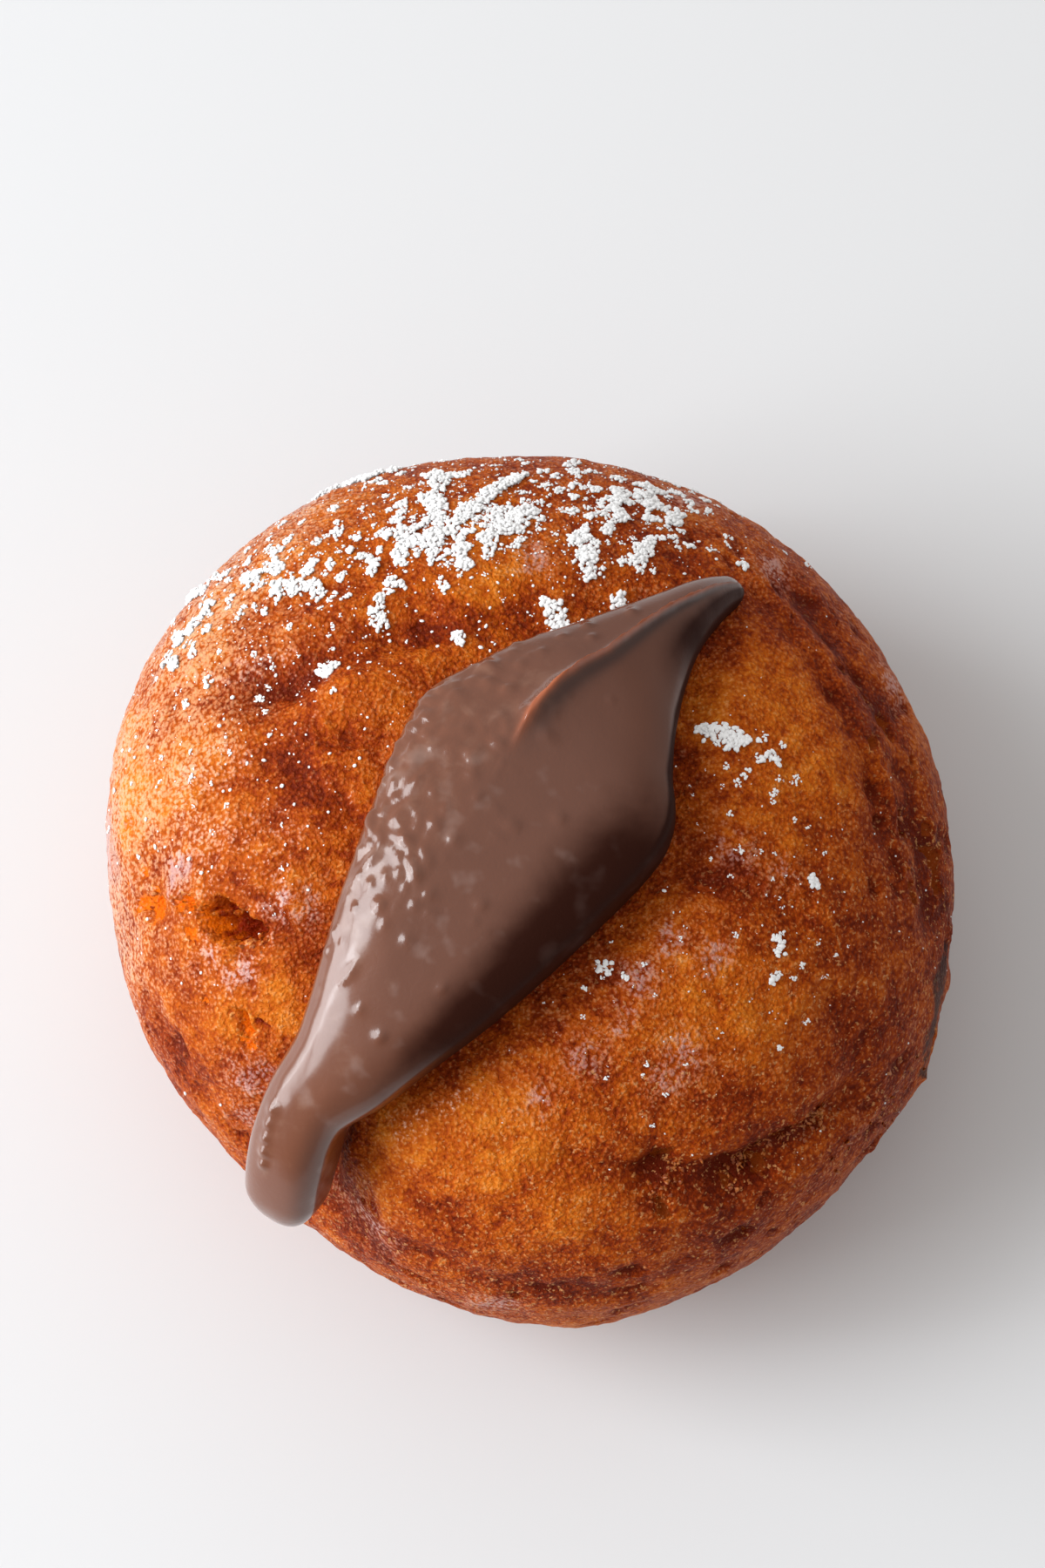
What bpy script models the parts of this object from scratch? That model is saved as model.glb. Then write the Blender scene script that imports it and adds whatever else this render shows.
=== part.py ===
"""A bombolone: a round fried doughnut, slit across the top and filled with chocolate cream.

Two solids. The dough is a fat ball on a small flat foot, with a pocket pressed in along the slit and
the largest clumps of icing sugar fused on. The cream fills the pocket, swells over its lips and ends
in the crest where the spoon was pulled away.

Metres, +Z up, origin in the middle of the foot, on the table.
"""

import math
import random

import bmesh
import bpy
import numpy as np

MM = 0.001

# Dough, measured from the middle of its widest ring, the waist
DOUGH_HALF_WIDTH = 44.4 * MM
DOUGH_HALF_DEPTH = 46.6 * MM
DOUGH_CROWN = 29.0 * MM
DOUGH_BELLY = 26.0 * MM
WAIST_HEIGHT = 23.5 * MM
DOUGH_FULLNESS = 2.3  # 2 is an ellipsoid, and more is boxier
DOUGH_CUTS = 24  # cuts along each edge of the cube that becomes the ball

# A direction is (bearing, rise) in degrees, seen from the middle of the waist. The bearing turns from
# +X to +Y, and the rise is the angle above the waist.
# Swellings and flats of the dough: direction, reach, height
SWELLINGS = (
    ((148, 24), 28 * MM, 2.6 * MM),
    ((232, 8), 22 * MM, -3.4 * MM),
    ((285, 4), 24 * MM, 0.8 * MM),
    ((330, 4), 18 * MM, 0.6 * MM),
    ((352, 14), 16 * MM, 0.4 * MM),
    ((180, 4), 14 * MM, -0.4 * MM),
    ((322, 42), 12 * MM, 1.2 * MM),
    ((150, 62), 11 * MM, 1.0 * MM),
)
# Folds of the crust: start, end, half width, depth
FOLDS = (
    ((156, 40), (122, 51), 2.6 * MM, 1.5 * MM),
    ((128, 51), (92, 53), 3.0 * MM, 1.1 * MM),
    ((178, 46), (152, 44), 3.2 * MM, 0.7 * MM),
    ((289, 26), (303, 20), 2.4 * MM, 1.4 * MM),
    ((300, 21), (320, 18), 2.4 * MM, 1.6 * MM),
    ((44, 24), (18, 22), 2.4 * MM, 0.9 * MM),
    ((10, 22), (350, 17), 2.4 * MM, 1.2 * MM),
)
# Pits where a bubble of the crust has burst: direction, radius, depth
PITS = (
    ((200, 35), 2.9 * MM, 2.6 * MM),
    ((192, 24), 2.2 * MM, 1.8 * MM),
    ((186, 17), 1.6 * MM, 1.2 * MM),
    ((215, 26), 2.0 * MM, 1.8 * MM),
    ((289, 54), 2.4 * MM, 0.9 * MM),
    ((36, 22), 1.8 * MM, 1.4 * MM),
    ((2, 22), 1.8 * MM, 1.4 * MM),
    ((357, 14), 2.0 * MM, 1.5 * MM),
)
# Small lumps and hollows all over the crust, from bubbles under it
CRUST_LUMPS = 120
CRUST_LUMP_REACH = (3.5 * MM, 7.5 * MM)
CRUST_LUMP_HEIGHT = 0.5 * MM
CRUST_SEED = 3

# Cream, from the lobe that hangs over the edge to the tip of the crest:
# direction, half width, height over the crust, height of the crest, its place across
CREAM_STATIONS = (
    ((237, 12), 3.7 * MM, 3.8 * MM, 0.0 * MM, 0.0),
    ((235, 21), 4.2 * MM, 4.9 * MM, 0.0 * MM, 0.0),
    ((233.5, 30), 4.5 * MM, 5.4 * MM, 0.0 * MM, 0.0),
    ((235.5, 39), 6.2 * MM, 6.0 * MM, 0.0 * MM, 0.0),
    ((237, 54), 9.6 * MM, 6.8 * MM, 0.0 * MM, 0.0),
    ((238, 72), 12.4 * MM, 7.0 * MM, 0.2 * MM, -0.1),
    ((55, 86), 14.3 * MM, 6.4 * MM, 1.2 * MM, -0.2),
    ((57, 73), 11.2 * MM, 5.2 * MM, 3.4 * MM, -0.22),
    ((55, 61), 7.4 * MM, 4.2 * MM, 4.2 * MM, -0.2),
    ((53, 49), 4.1 * MM, 3.2 * MM, 3.6 * MM, -0.08),
    ((51, 40), 2.2 * MM, 2.4 * MM, 1.8 * MM, -0.1),
    ((49, 34), 0.4 * MM, 0.8 * MM, 0.0 * MM, 0.0),
)
CREAM_SQUARENESS = 2.5  # of its cross-section: 2 is an ellipse
CREAM_WIDEST = 0.3  # where its side bulges most, as a share of its height
CREAM_END = 4.4 * MM  # length of the rounding at the lobe's end
CREST_STEEP = 0.16  # how fast the crest falls on its left, in half widths
CREST_SLACK = 0.85  # and on its right
CREST_LEAN = 0.35  # how far it leans to the left, as a share of its height
CREAM_RINGS = 42
CREAM_SIDES = 36
POCKET_DEPTH = 0.62  # as a share of the cream's half width
LIP_DIP = 1.6 * MM  # how far the crust turns in beside the cream
LIP_REACH = 4.5 * MM
CREAM_GAP = 0.35 * MM
PATH_STEPS = 240

# Icing sugar: middle of the drift, its spread, number of clumps, largest radius
SUGAR_DRIFTS = (
    ((111, 31), 6.0 * MM, 8, 1.2 * MM),
    ((109, 40), 4.0 * MM, 4, 1.1 * MM),
    ((98, 35), 4.0 * MM, 5, 1.1 * MM),
    ((89, 33), 2.5 * MM, 2, 1.0 * MM),
    ((80, 30), 5.0 * MM, 5, 1.1 * MM),
    ((69, 28), 5.0 * MM, 4, 1.1 * MM),
    ((74, 41), 4.0 * MM, 3, 1.0 * MM),
    ((79, 54), 1.6 * MM, 3, 1.3 * MM),
    ((137, 22), 5.0 * MM, 4, 1.0 * MM),
    ((133, 34), 3.0 * MM, 2, 1.1 * MM),
    ((149, 25), 4.0 * MM, 3, 1.0 * MM),
    ((154, 40), 4.0 * MM, 2, 0.9 * MM),
    ((168, 30), 4.0 * MM, 2, 0.9 * MM),
    ((19, 52), 1.2 * MM, 2, 1.7 * MM),
    ((12, 48), 2.5 * MM, 3, 1.1 * MM),
    ((54, 29), 3.0 * MM, 2, 0.9 * MM),
    ((346, 43), 5.0 * MM, 2, 0.9 * MM),
    ((331, 40), 3.0 * MM, 2, 0.9 * MM),
    ((296, 52), 5.0 * MM, 3, 0.8 * MM),
    ((285, 41), 0.2 * MM, 1, 0.9 * MM),
    ((291, 33), 0.2 * MM, 1, 0.9 * MM),
)
SUGAR_SEED = 7
SUGAR_SMALLEST = 0.6  # radius, as a share of the drift's largest
SUGAR_HEIGHT = 0.6  # of a clump, as a share of its radius
SUGAR_UNEVEN = 0.14  # how far its corners stray, as a share of its radius
SUGAR_MARGIN = 0.8 * MM  # kept clear between a clump and the cream
SUGAR_APART = 1.1  # between two clumps, as a share of their radii

DOUGH_COLOUR = (0.42, 0.15, 0.04)
CREAM_COLOUR = (0.12, 0.055, 0.035)


def clear_scene():
    for old in list(bpy.data.objects):
        bpy.data.objects.remove(old)


def unit(rows):
    return rows / np.linalg.norm(rows, axis=-1, keepdims=True)


def toward(bearing, rise):
    """The unit vector of a direction given in degrees."""
    turn, lift = math.radians(bearing), math.radians(rise)
    return np.array([math.cos(turn) * math.cos(lift), math.sin(turn) * math.cos(lift), math.sin(lift)])


def ball(directions):
    """Points of the plain ball, from the middle of the waist."""
    across = np.hypot(directions[:, 0] / DOUGH_HALF_WIDTH, directions[:, 1] / DOUGH_HALF_DEPTH)
    half_height = np.where(directions[:, 2] > 0, DOUGH_CROWN, DOUGH_BELLY)
    up = np.abs(directions[:, 2]) / half_height
    reach = (across**DOUGH_FULLNESS + up**DOUGH_FULLNESS) ** (-1 / DOUGH_FULLNESS)
    return directions * reach[:, None]


def ball_normals(points):
    """Outward normals of the plain ball at its own points."""
    half = np.array([DOUGH_HALF_WIDTH, DOUGH_HALF_DEPTH, 1.0])
    half_height = np.where(points[:, 2] > 0, DOUGH_CROWN, DOUGH_BELLY)
    across = np.hypot(points[:, 0] / half[0], points[:, 1] / half[1]).clip(1e-9)
    slope = across ** (DOUGH_FULLNESS - 2)
    lift = np.abs(points[:, 2] / half_height) ** (DOUGH_FULLNESS - 1) * np.sign(points[:, 2]) / half_height
    return unit(np.stack([slope * points[:, 0] / half[0] ** 2, slope * points[:, 1] / half[1] ** 2, lift], 1))


def through(rows, steps):
    """A smooth curve through rows of numbers, as Catmull-Rom, with the end rows kept."""
    rows = np.asarray(rows, float)
    padded = np.vstack([2 * rows[0] - rows[1], rows, 2 * rows[-1] - rows[-2]])
    place = np.linspace(0, len(rows) - 1, steps)
    first = np.minimum(place.astype(int), len(rows) - 2)
    t = (place - first)[:, None]
    before, start, end, after = (padded[first + k] for k in range(4))
    return 0.5 * (
        2 * start
        + (end - before) * t
        + (2 * before - 5 * start + 4 * end - after) * t**2
        + (3 * start - before - 3 * end + after) * t**3
    )


class Slit:
    """The line of the slit over the ball, evenly stepped: its points, axes and the cream's sizes."""

    def __init__(self):
        rows = [[*toward(*direction), *sizes] for direction, *sizes in CREAM_STATIONS]
        fine = through(rows, PATH_STEPS)
        points = ball(unit(fine[:, :3]))
        run = np.concatenate([[0], np.cumsum(np.linalg.norm(np.diff(points, axis=0), axis=1))])
        even = np.linspace(0, run[-1], PATH_STEPS)
        columns = np.stack([np.interp(even, run, column) for column in np.hstack([points, fine[:, 3:]]).T], 1)
        self.length = run[-1]
        self.points = ball(unit(columns[:, :3]))
        self.half_width = columns[:, 3].clip(0.1 * MM)
        self.height, self.crest, self.crest_place = columns[:, 4], columns[:, 5].clip(0), columns[:, 6]
        self.up = ball_normals(self.points)
        along = unit(np.gradient(self.points, axis=0))
        self.right = unit(np.cross(along, self.up))

    def at(self, name, share):
        """One of the slit's rows, read at shares of its length from 0 to 1."""
        values = getattr(self, name)
        place = np.linspace(0, 1, PATH_STEPS)
        if values.ndim == 1:
            return np.interp(share, place, values)
        return np.stack([np.interp(share, place, column) for column in values.T], 1)

    def nearest(self, points):
        """For each point, its distance from the slit's line and the cream's half width there."""
        apart = np.linalg.norm(points[:, None] - self.points[None], axis=2)
        closest = apart.argmin(axis=1)
        return apart[np.arange(len(points)), closest], self.half_width[closest]


def distance_to_arc(points, start, end):
    """Distance from each point to the line that runs over the ball between two directions."""
    share = np.linspace(0, 1, 24)[:, None]
    line = ball(unit((1 - share) * toward(*start) + share * toward(*end)))
    return np.linalg.norm(points[:, None] - line[None], axis=2).min(axis=1)


def crust_lumps(points):
    """The crust's small lumps and hollows, as height over the ball."""
    rng = random.Random(CRUST_SEED)
    relief = np.zeros(len(points))
    for _ in range(CRUST_LUMPS):
        middle = ball(unit(np.array([[rng.gauss(0, 1) for _ in range(3)]])))
        reach = rng.uniform(*CRUST_LUMP_REACH)
        height = rng.uniform(-CRUST_LUMP_HEIGHT, CRUST_LUMP_HEIGHT)
        relief += height * np.exp(-((np.linalg.norm(points - middle, axis=1) / reach) ** 2))
    return relief


def dough_relief(points, slit):
    """How far the crust stands out from the plain ball, at the ball's points."""
    relief = crust_lumps(points)
    for direction, reach, height in SWELLINGS:
        middle = ball(toward(*direction)[None])
        relief += height * np.exp(-((np.linalg.norm(points - middle, axis=1) / reach) ** 2))
    for start, end, half_width, depth in FOLDS:
        relief -= depth * np.exp(-((distance_to_arc(points, start, end) / half_width) ** 2))
    for direction, radius, depth in PITS:
        middle = ball(toward(*direction)[None])
        relief -= depth * np.exp(-((np.linalg.norm(points - middle, axis=1) / radius) ** 4))
    apart, half_width = slit.nearest(points)
    inside = (1 - (apart / half_width).clip(0, 1) ** 2) ** 1.5
    outside = np.exp(-(((apart - half_width).clip(0) / LIP_REACH) ** 2))
    relief -= POCKET_DEPTH * half_width * inside
    relief -= LIP_DIP * outside * np.minimum(1, half_width / LIP_REACH)
    return relief


def dough_points(directions, slit, grown=0.0):
    """Points of the dough on the table, for unit directions from the middle of the waist."""
    plain = ball(directions)
    points = plain + directions * (dough_relief(plain, slit) + grown)[:, None]
    points[:, 2] = np.maximum(points[:, 2] + WAIST_HEIGHT, -grown)
    return points


def cream_points(share, turn, slit):
    """Points of the cream: share is the place along the slit, turn the angle round its section."""
    half_width = slit.at("half_width", share)
    height = slit.at("height", share)
    from_end = (share * slit.length / CREAM_END).clip(0, 1)
    cap = np.sqrt(1 - (1 - from_end) ** 2)
    across = np.sign(np.cos(turn)) * np.abs(np.cos(turn)) ** (2 / CREAM_SQUARENESS)
    upward = np.sign(np.sin(turn)) * np.abs(np.sin(turn)) ** (2 / CREAM_SQUARENESS)
    widest = CREAM_WIDEST * height
    keel = (POCKET_DEPTH * half_width + 2 * LIP_DIP) * 1.1
    rise = widest + np.where(upward > 0, (height - widest) * upward, (widest + keel) * upward)
    from_crest = across - slit.at("crest_place", share)
    slope = np.where(from_crest < 0, CREST_STEEP, CREST_SLACK)
    crest = slit.at("crest", share) * np.exp(-np.abs(from_crest) / slope) * upward.clip(0)
    rise = widest + (rise + crest - widest) * cap
    points = slit.at("points", share)
    points = points + slit.at("right", share) * (across * half_width * cap - CREST_LEAN * crest)[:, None]
    points = points + slit.at("up", share) * rise[:, None]
    points[:, 2] += WAIST_HEIGHT
    return points


def moved_mesh(bm, name, points):
    for vertex, point in zip(bm.verts, points):
        vertex.co = point
    bmesh.ops.recalc_face_normals(bm, faces=bm.faces)
    mesh = bpy.data.meshes.new(name)
    bm.to_mesh(mesh)
    bm.free()
    mesh.shade_smooth()
    return mesh


def material(name, colour, roughness):
    made = bpy.data.materials.new(name)
    made.use_nodes = True
    shader = made.node_tree.nodes["Principled BSDF"]
    shader.inputs["Base Color"].default_value = (*colour, 1)
    shader.inputs["Roughness"].default_value = roughness
    shader.inputs["Metallic"].default_value = 0
    return made


def add(name, mesh, collection, finish=None):
    made = bpy.data.objects.new(name, mesh)
    collection.objects.link(made)
    if finish:
        mesh.materials.append(finish)
    return made


def apply_modifiers(obj):
    """Replaces the object's mesh with its evaluated one, and drops its modifiers."""
    bpy.context.view_layer.update()
    graph = bpy.context.evaluated_depsgraph_get()
    obj.data = bpy.data.meshes.new_from_object(obj.evaluated_get(graph))
    obj.modifiers.clear()


def dough_mesh(name, slit, grown=0.0):
    """A cube cut into a grid and blown up to the dough's form."""
    bm = bmesh.new()
    bmesh.ops.create_cube(bm, size=2)
    bmesh.ops.subdivide_edges(bm, edges=bm.edges, cuts=DOUGH_CUTS, use_grid_fill=True)
    corners = np.array([vertex.co for vertex in bm.verts])
    directions = unit(np.tan(corners * math.pi / 4))
    return moved_mesh(bm, name, dough_points(directions, slit, grown))


def cream_mesh(name, slit):
    """A sphere drawn out along the slit, its poles at the lobe's end and the crest's tip."""
    bm = bmesh.new()
    bmesh.ops.create_uvsphere(bm, u_segments=CREAM_SIDES, v_segments=CREAM_RINGS, radius=1)
    corners = np.array([vertex.co for vertex in bm.verts])
    share = ((1 - corners[:, 2]) / 2).clip(0, 1)
    turn = np.arctan2(corners[:, 1], corners[:, 0])
    return moved_mesh(bm, name, cream_points(share, turn, slit))


def sugar_clumps(slit):
    """(point, outward axis, radius) of each large clump, clear of the cream and of one another."""
    rng = random.Random(SUGAR_SEED)
    clumps = []
    for direction, spread, count, largest in SUGAR_DRIFTS:
        middle = ball(toward(*direction)[None])[0]
        for _ in range(count):
            scatter = np.array([rng.gauss(0, spread / 2) for _ in range(3)])
            radius = largest * rng.uniform(SUGAR_SMALLEST, 1)
            aim = unit(middle + scatter)[None]
            apart, half_width = slit.nearest(ball(aim))
            if apart[0] < half_width[0] + radius + SUGAR_MARGIN:
                continue
            point = dough_points(aim, slit)[0]
            if all(
                np.linalg.norm(point - other) > SUGAR_APART * (radius + other_radius)
                for other, _, other_radius in clumps
            ):
                clumps.append((point, ball_normals(ball(aim))[0], radius))
    return clumps


def sugar_mesh(name, point, axis, radius, rng):
    """A flattened, uneven lump that sits half in the crust."""
    bm = bmesh.new()
    bmesh.ops.create_icosphere(bm, subdivisions=1, radius=1)
    side = unit(np.cross(axis, toward(rng.uniform(0, 360), 0)))
    other = np.cross(axis, side)
    stretch = rng.uniform(0.8, 1.2)
    corners = []
    for vertex in bm.verts:
        x, y, z = (radius * (value + rng.uniform(-SUGAR_UNEVEN, SUGAR_UNEVEN)) for value in vertex.co)
        corners.append(point + side * x * stretch + other * y / stretch + axis * z * SUGAR_HEIGHT)
    return moved_mesh(bm, name, corners)


def cut(obj, cutter_mesh, cutters):
    """Takes the cutter's form out of the object."""
    cutter = add(cutter_mesh.name, cutter_mesh, cutters)
    cutter.hide_render = True
    cutter.display_type = "WIRE"
    boolean = obj.modifiers.new(cutter.name, "BOOLEAN")
    boolean.operation = "DIFFERENCE"
    boolean.solver = "EXACT"
    boolean.object = cutter
    apply_modifiers(obj)
    bpy.data.objects.remove(cutter)


def fuse(obj, lumps):
    """Joins a collection of lumps to the object as one solid, and removes the lumps."""
    boolean = obj.modifiers.new("fused", "BOOLEAN")
    boolean.operation = "UNION"
    boolean.solver = "EXACT"
    boolean.operand_type = "COLLECTION"
    boolean.collection = lumps
    apply_modifiers(obj)
    for lump in list(lumps.objects):
        bpy.data.objects.remove(lump)
    bpy.data.collections.remove(lumps)


def new_collection(name, hidden=False):
    made = bpy.data.collections.new(name)
    bpy.context.scene.collection.children.link(made)
    made.hide_render = hidden
    return made


def main():
    clear_scene()
    parts = new_collection("bombolone")
    cutters = new_collection("cutters", hidden=True)
    slit = Slit()

    dough = add("dough", dough_mesh("dough", slit), parts, material("crust", DOUGH_COLOUR, 0.45))
    sugar = new_collection("icing sugar")
    rng = random.Random(SUGAR_SEED)
    for number, (point, axis, radius) in enumerate(sugar_clumps(slit)):
        name = f"clump {number}"
        add(name, sugar_mesh(name, point, axis, radius, rng), sugar)
    fuse(dough, sugar)

    cream = add("cream", cream_mesh("cream", slit), parts, material("cream", CREAM_COLOUR, 0.25))
    cut(cream, dough_mesh("room for the dough", slit, CREAM_GAP), cutters)


main()
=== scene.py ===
"""A bombolone on a pale table: fried crust, chocolate cream with its crest, icing sugar.

Metres, +Z up, origin in the middle of the foot. The dough and the cream are made over their solids at
full detail. The sugar, the dust and the flakes lie on the crust.
"""
import math
import random

import bmesh
import bpy
import numpy as np
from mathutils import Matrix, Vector, noise
from mathutils.bvhtree import BVHTree


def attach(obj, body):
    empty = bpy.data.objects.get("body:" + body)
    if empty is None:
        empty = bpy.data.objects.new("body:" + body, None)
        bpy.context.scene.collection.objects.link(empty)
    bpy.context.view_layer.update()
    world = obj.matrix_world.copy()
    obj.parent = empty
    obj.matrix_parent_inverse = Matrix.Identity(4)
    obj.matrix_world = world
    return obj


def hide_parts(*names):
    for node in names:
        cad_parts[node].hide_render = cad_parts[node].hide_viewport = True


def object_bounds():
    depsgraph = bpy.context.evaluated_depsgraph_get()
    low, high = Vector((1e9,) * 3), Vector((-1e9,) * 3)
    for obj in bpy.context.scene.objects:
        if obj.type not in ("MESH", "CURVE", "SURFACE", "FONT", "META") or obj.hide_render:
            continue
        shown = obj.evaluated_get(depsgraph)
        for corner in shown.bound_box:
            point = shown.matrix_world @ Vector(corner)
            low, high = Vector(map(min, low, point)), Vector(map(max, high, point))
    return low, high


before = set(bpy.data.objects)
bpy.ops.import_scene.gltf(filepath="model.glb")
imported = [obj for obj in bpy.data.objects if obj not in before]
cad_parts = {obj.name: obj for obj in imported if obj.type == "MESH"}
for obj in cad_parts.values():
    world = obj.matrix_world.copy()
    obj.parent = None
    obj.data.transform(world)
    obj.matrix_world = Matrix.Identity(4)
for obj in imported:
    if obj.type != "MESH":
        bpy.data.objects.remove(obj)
CAD_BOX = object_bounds()

MM = 0.001

# -------- sizes shared with the solids
DOUGH_HALF_WIDTH = 44.4 * MM
DOUGH_HALF_DEPTH = 46.6 * MM
DOUGH_CROWN = 29.0 * MM
DOUGH_BELLY = 26.0 * MM
WAIST_HEIGHT = 23.5 * MM
DOUGH_FULLNESS = 2.3

# In the tables a direction is (bearing, rise) in degrees from the middle of the waist, the bearing
# counted from +X to +Y, and all lengths are in millimetres.
# Swellings and flats of the dough: direction, reach, height
SWELLINGS = (
    ((148, 24), 28, 2.6), ((232, 8), 22, -3.4), ((285, 4), 24, 0.8), ((330, 4), 18, 0.6), ((352, 14), 16, 0.4),
    ((180, 4), 14, -0.4), ((322, 42), 12, 1.2), ((150, 62), 11, 1),
)
# Folds of the crust: start, end, half width, depth
FOLDS = (
    ((156, 40), (122, 51), 2.6, 1.5), ((128, 51), (92, 53), 3, 1.1), ((178, 46), (152, 44), 3.2, 0.7),
    ((289, 26), (303, 20), 2.4, 1.4), ((300, 21), (320, 18), 2.4, 1.6), ((44, 24), (18, 22), 2.4, 0.9),
    ((10, 22), (350, 17), 2.4, 1.2),
)
# Burst bubbles of the crust: direction, radius, depth
PITS = (
    ((200, 35), 2.9, 2.6), ((192, 24), 2.2, 1.8), ((186, 17), 1.6, 1.2), ((215, 26), 2, 1.8),
    ((289, 54), 2.4, 0.9), ((36, 22), 1.8, 1.4), ((2, 22), 1.8, 1.4), ((357, 14), 2, 1.5),
)
CRUST_LUMPS = 120
CRUST_LUMP_REACH = (3.5 * MM, 7.5 * MM)
CRUST_LUMP_HEIGHT = 0.5 * MM
CRUST_SEED = 3

# Cream, lobe to tip: direction, half width, height over the crust, crest height, its place across
CREAM_STATIONS = (
    ((237, 12), 3.7, 3.8, 0, 0), ((235, 21), 4.2, 4.9, 0, 0), ((233.5, 30), 4.5, 5.4, 0, 0),
    ((235.5, 39), 6.2, 6, 0, 0), ((237, 54), 9.6, 6.8, 0, 0), ((238, 72), 12.4, 7, 0.2, -0.1),
    ((55, 86), 14.3, 6.4, 1.2, -0.2), ((57, 73), 11.2, 5.2, 3.4, -0.22), ((55, 61), 7.4, 4.2, 4.2, -0.2),
    ((53, 49), 4.1, 3.2, 3.6, -0.08), ((51, 40), 2.4, 2.4, 1.8, -0.1), ((49, 34), 1.3, 1.2, 0, 0),
)
CREAM_SQUARENESS = 2.5
CREAM_WIDEST = 0.3
CREAM_END = 4.4 * MM
CREAM_TIP = 1.6 * MM
CREST_SLACK = 0.85
CREST_LEAN = 0.16
CREST_BACK = 0.42  # how much of the crest's left side falls away gently
CREST_BACK_SLACK = 0.5
# Place of the crest across the cream, at shares of its length
CREST_LINE = (
    (0, 0), (0.5, -0.2), (0.62, -0.22), (0.68, -0.26), (0.71, -0.25), (0.74, -0.2), (0.77, -0.12),
    (0.83, -0.05), (0.87, 0.02), (0.9, 0.12), (1, 0.3),
)
POCKET_DEPTH = 0.62
LIP_DIP = 1.6 * MM
LIP_REACH = 4.5 * MM
PATH_STEPS = 240

# Icing sugar: middle of the drift, its spread, number of clumps, largest radius
SUGAR_DRIFTS = (
    ((111, 31), 6, 8, 1.2), ((109, 40), 4, 4, 1.1), ((98, 35), 4, 5, 1.1), ((89, 33), 2.5, 2, 1),
    ((80, 30), 5, 5, 1.1), ((69, 28), 5, 4, 1.1), ((74, 41), 4, 3, 1), ((79, 54), 1.6, 3, 1.3),
    ((137, 22), 5, 4, 1), ((133, 34), 3, 2, 1.1), ((149, 25), 4, 3, 1), ((154, 40), 4, 2, 0.9),
    ((168, 30), 4, 2, 0.9), ((19, 52), 1.2, 2, 1.7), ((12, 48), 2.5, 3, 1.1), ((54, 29), 3, 2, 0.9),
    ((346, 43), 5, 2, 0.9), ((331, 40), 3, 2, 0.9), ((296, 52), 5, 3, 0.8), ((285, 41), 0.2, 1, 0.9),
    ((291, 33), 0.2, 1, 0.9),
)
SUGAR_SEED = 7
SUGAR_SMALLEST = 0.6
SUGAR_MARGIN = 0.8 * MM
SUGAR_APART = 1.1

# -------- detail of the visible pieces
CRUST_CUTS = 126
CRUST_CROWDING = 0.3  # how far the crust's grid is drawn up, for finer detail on top
CREAM_RINGS = 330
CREAM_SIDES = 180
CREST_STEEP = 0.08  # the crest's left face, in half widths
CREST_SOFTER = 0.4  # how much gentler that face is where the crest is a soft swell
CREST_HEIGHT = 0.54  # of the solid's crest, which the lip brings back to its full height
CREST_LIP = 0.26  # the sharp lip along the crest, as a share of its height
CREST_LIP_WIDTH = 0.042  # in half widths
CREST_RIPPLES = ((0.12, 170, 0), (0.08, 430, 1))  # of the lip: height as a share, waves along, start
LIP_BOLD = (0.68, 0.04, 0.7)  # where the lip is bolder: place along, half length, how much
CREST_FOOT = (0.61, 0.05)  # where the crest sharpens: place along, how gradually
CREAM_DOME = 0.5  # how far the broad part's top falls away towards its steep rim
CREAM_RIM = 60  # the power of that rim: the higher, the narrower
SKIN_WAVES, SKIN_STREAKS = 0.012, 0.02  # of the cream's left face, in millimetres: all of it, its upper part
CREST_CROWDING = 0.7  # how far the cream's lines are drawn to its crest
CREST_BEAK = (0.735, 0.009, 0.4 * MM)  # the small beak on the crest: place along, half length, height

# Translucent amber places, browner places and pale bloom of melted sugar: direction, radius
AMBER = (
    ((308, 44), 5.5), ((266, 32), 6.5), ((263, 38), 5), ((10, 42), 4), ((29, 50), 4), ((174, 25), 5),
    ((173, 32), 5), ((217, 33), 4.5), ((251, 29), 6), ((246, 23), 5), ((274, 23), 5), ((165, 15), 5),
    ((26, 40), 4.5), ((314, 41), 4.5), ((122, 34), 4), ((134, 27), 4.5), ((100, 52), 3.5), ((60, 12), 5),
    ((20, 8), 4), ((140, 5), 6),
)
BROWN = (
    ((293, 54), 3), ((302, 32), 4.5), ((340, 32), 5.5), ((0, 31), 5), ((323, 26), 6), ((299, 14), 7),
    ((339, 54), 3.5), ((307, 24), 5), ((155, 38), 4), ((142, 45), 4), ((273, 11), 6), ((20, 26), 5),
    ((334, 33), 4), ((183, 45), 3), ((330, 12), 7), ((355, 8), 7), ((248, 6), 6), ((210, 6), 6),
)
BLOOM = (
    ((48, 24), 3.5), ((221, 21), 3), ((300, 52), 2.2), ((301, 40), 2.8), ((292, 48), 2), ((281, 44), 2.4),
    ((272, 39), 2), ((295, 38), 2.2), ((320, 48), 2.4), ((345, 52), 2.6), ((345, 45), 2), ((314, 54), 2),
    ((318, 48), 1.8), ((188, 29), 1.9), ((203, 30), 2), ((209, 32), 1.8), ((248, 11), 3), ((203, 44), 2.6),
    ((265, 4), 3.5), ((225, 13), 3), ((90, 44), 2.6), ((66, 20), 3), ((120, 12), 4), ((178, 10), 4),
    ((25, 16), 3), ((60, 46), 2.6),
)
WINDOW_SIDE = (-0.9, 0.3, 0.2)  # toward the window: the crust gets a painted sheen here and painted shade, browner, on the other side
# How ragged the edges of the folds, the torn holes and the tones are, in millimetres
FOLDS_RAGGED, HOLES_RAGGED, TONES_RAGGED = 0.8, 0.9, 1.8
CRUST_COARSE, CRUST_FINE, CRUST_SUNK = 0.22, 0.09, 0.1  # heights of the crust's own relief, in millimetres
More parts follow.
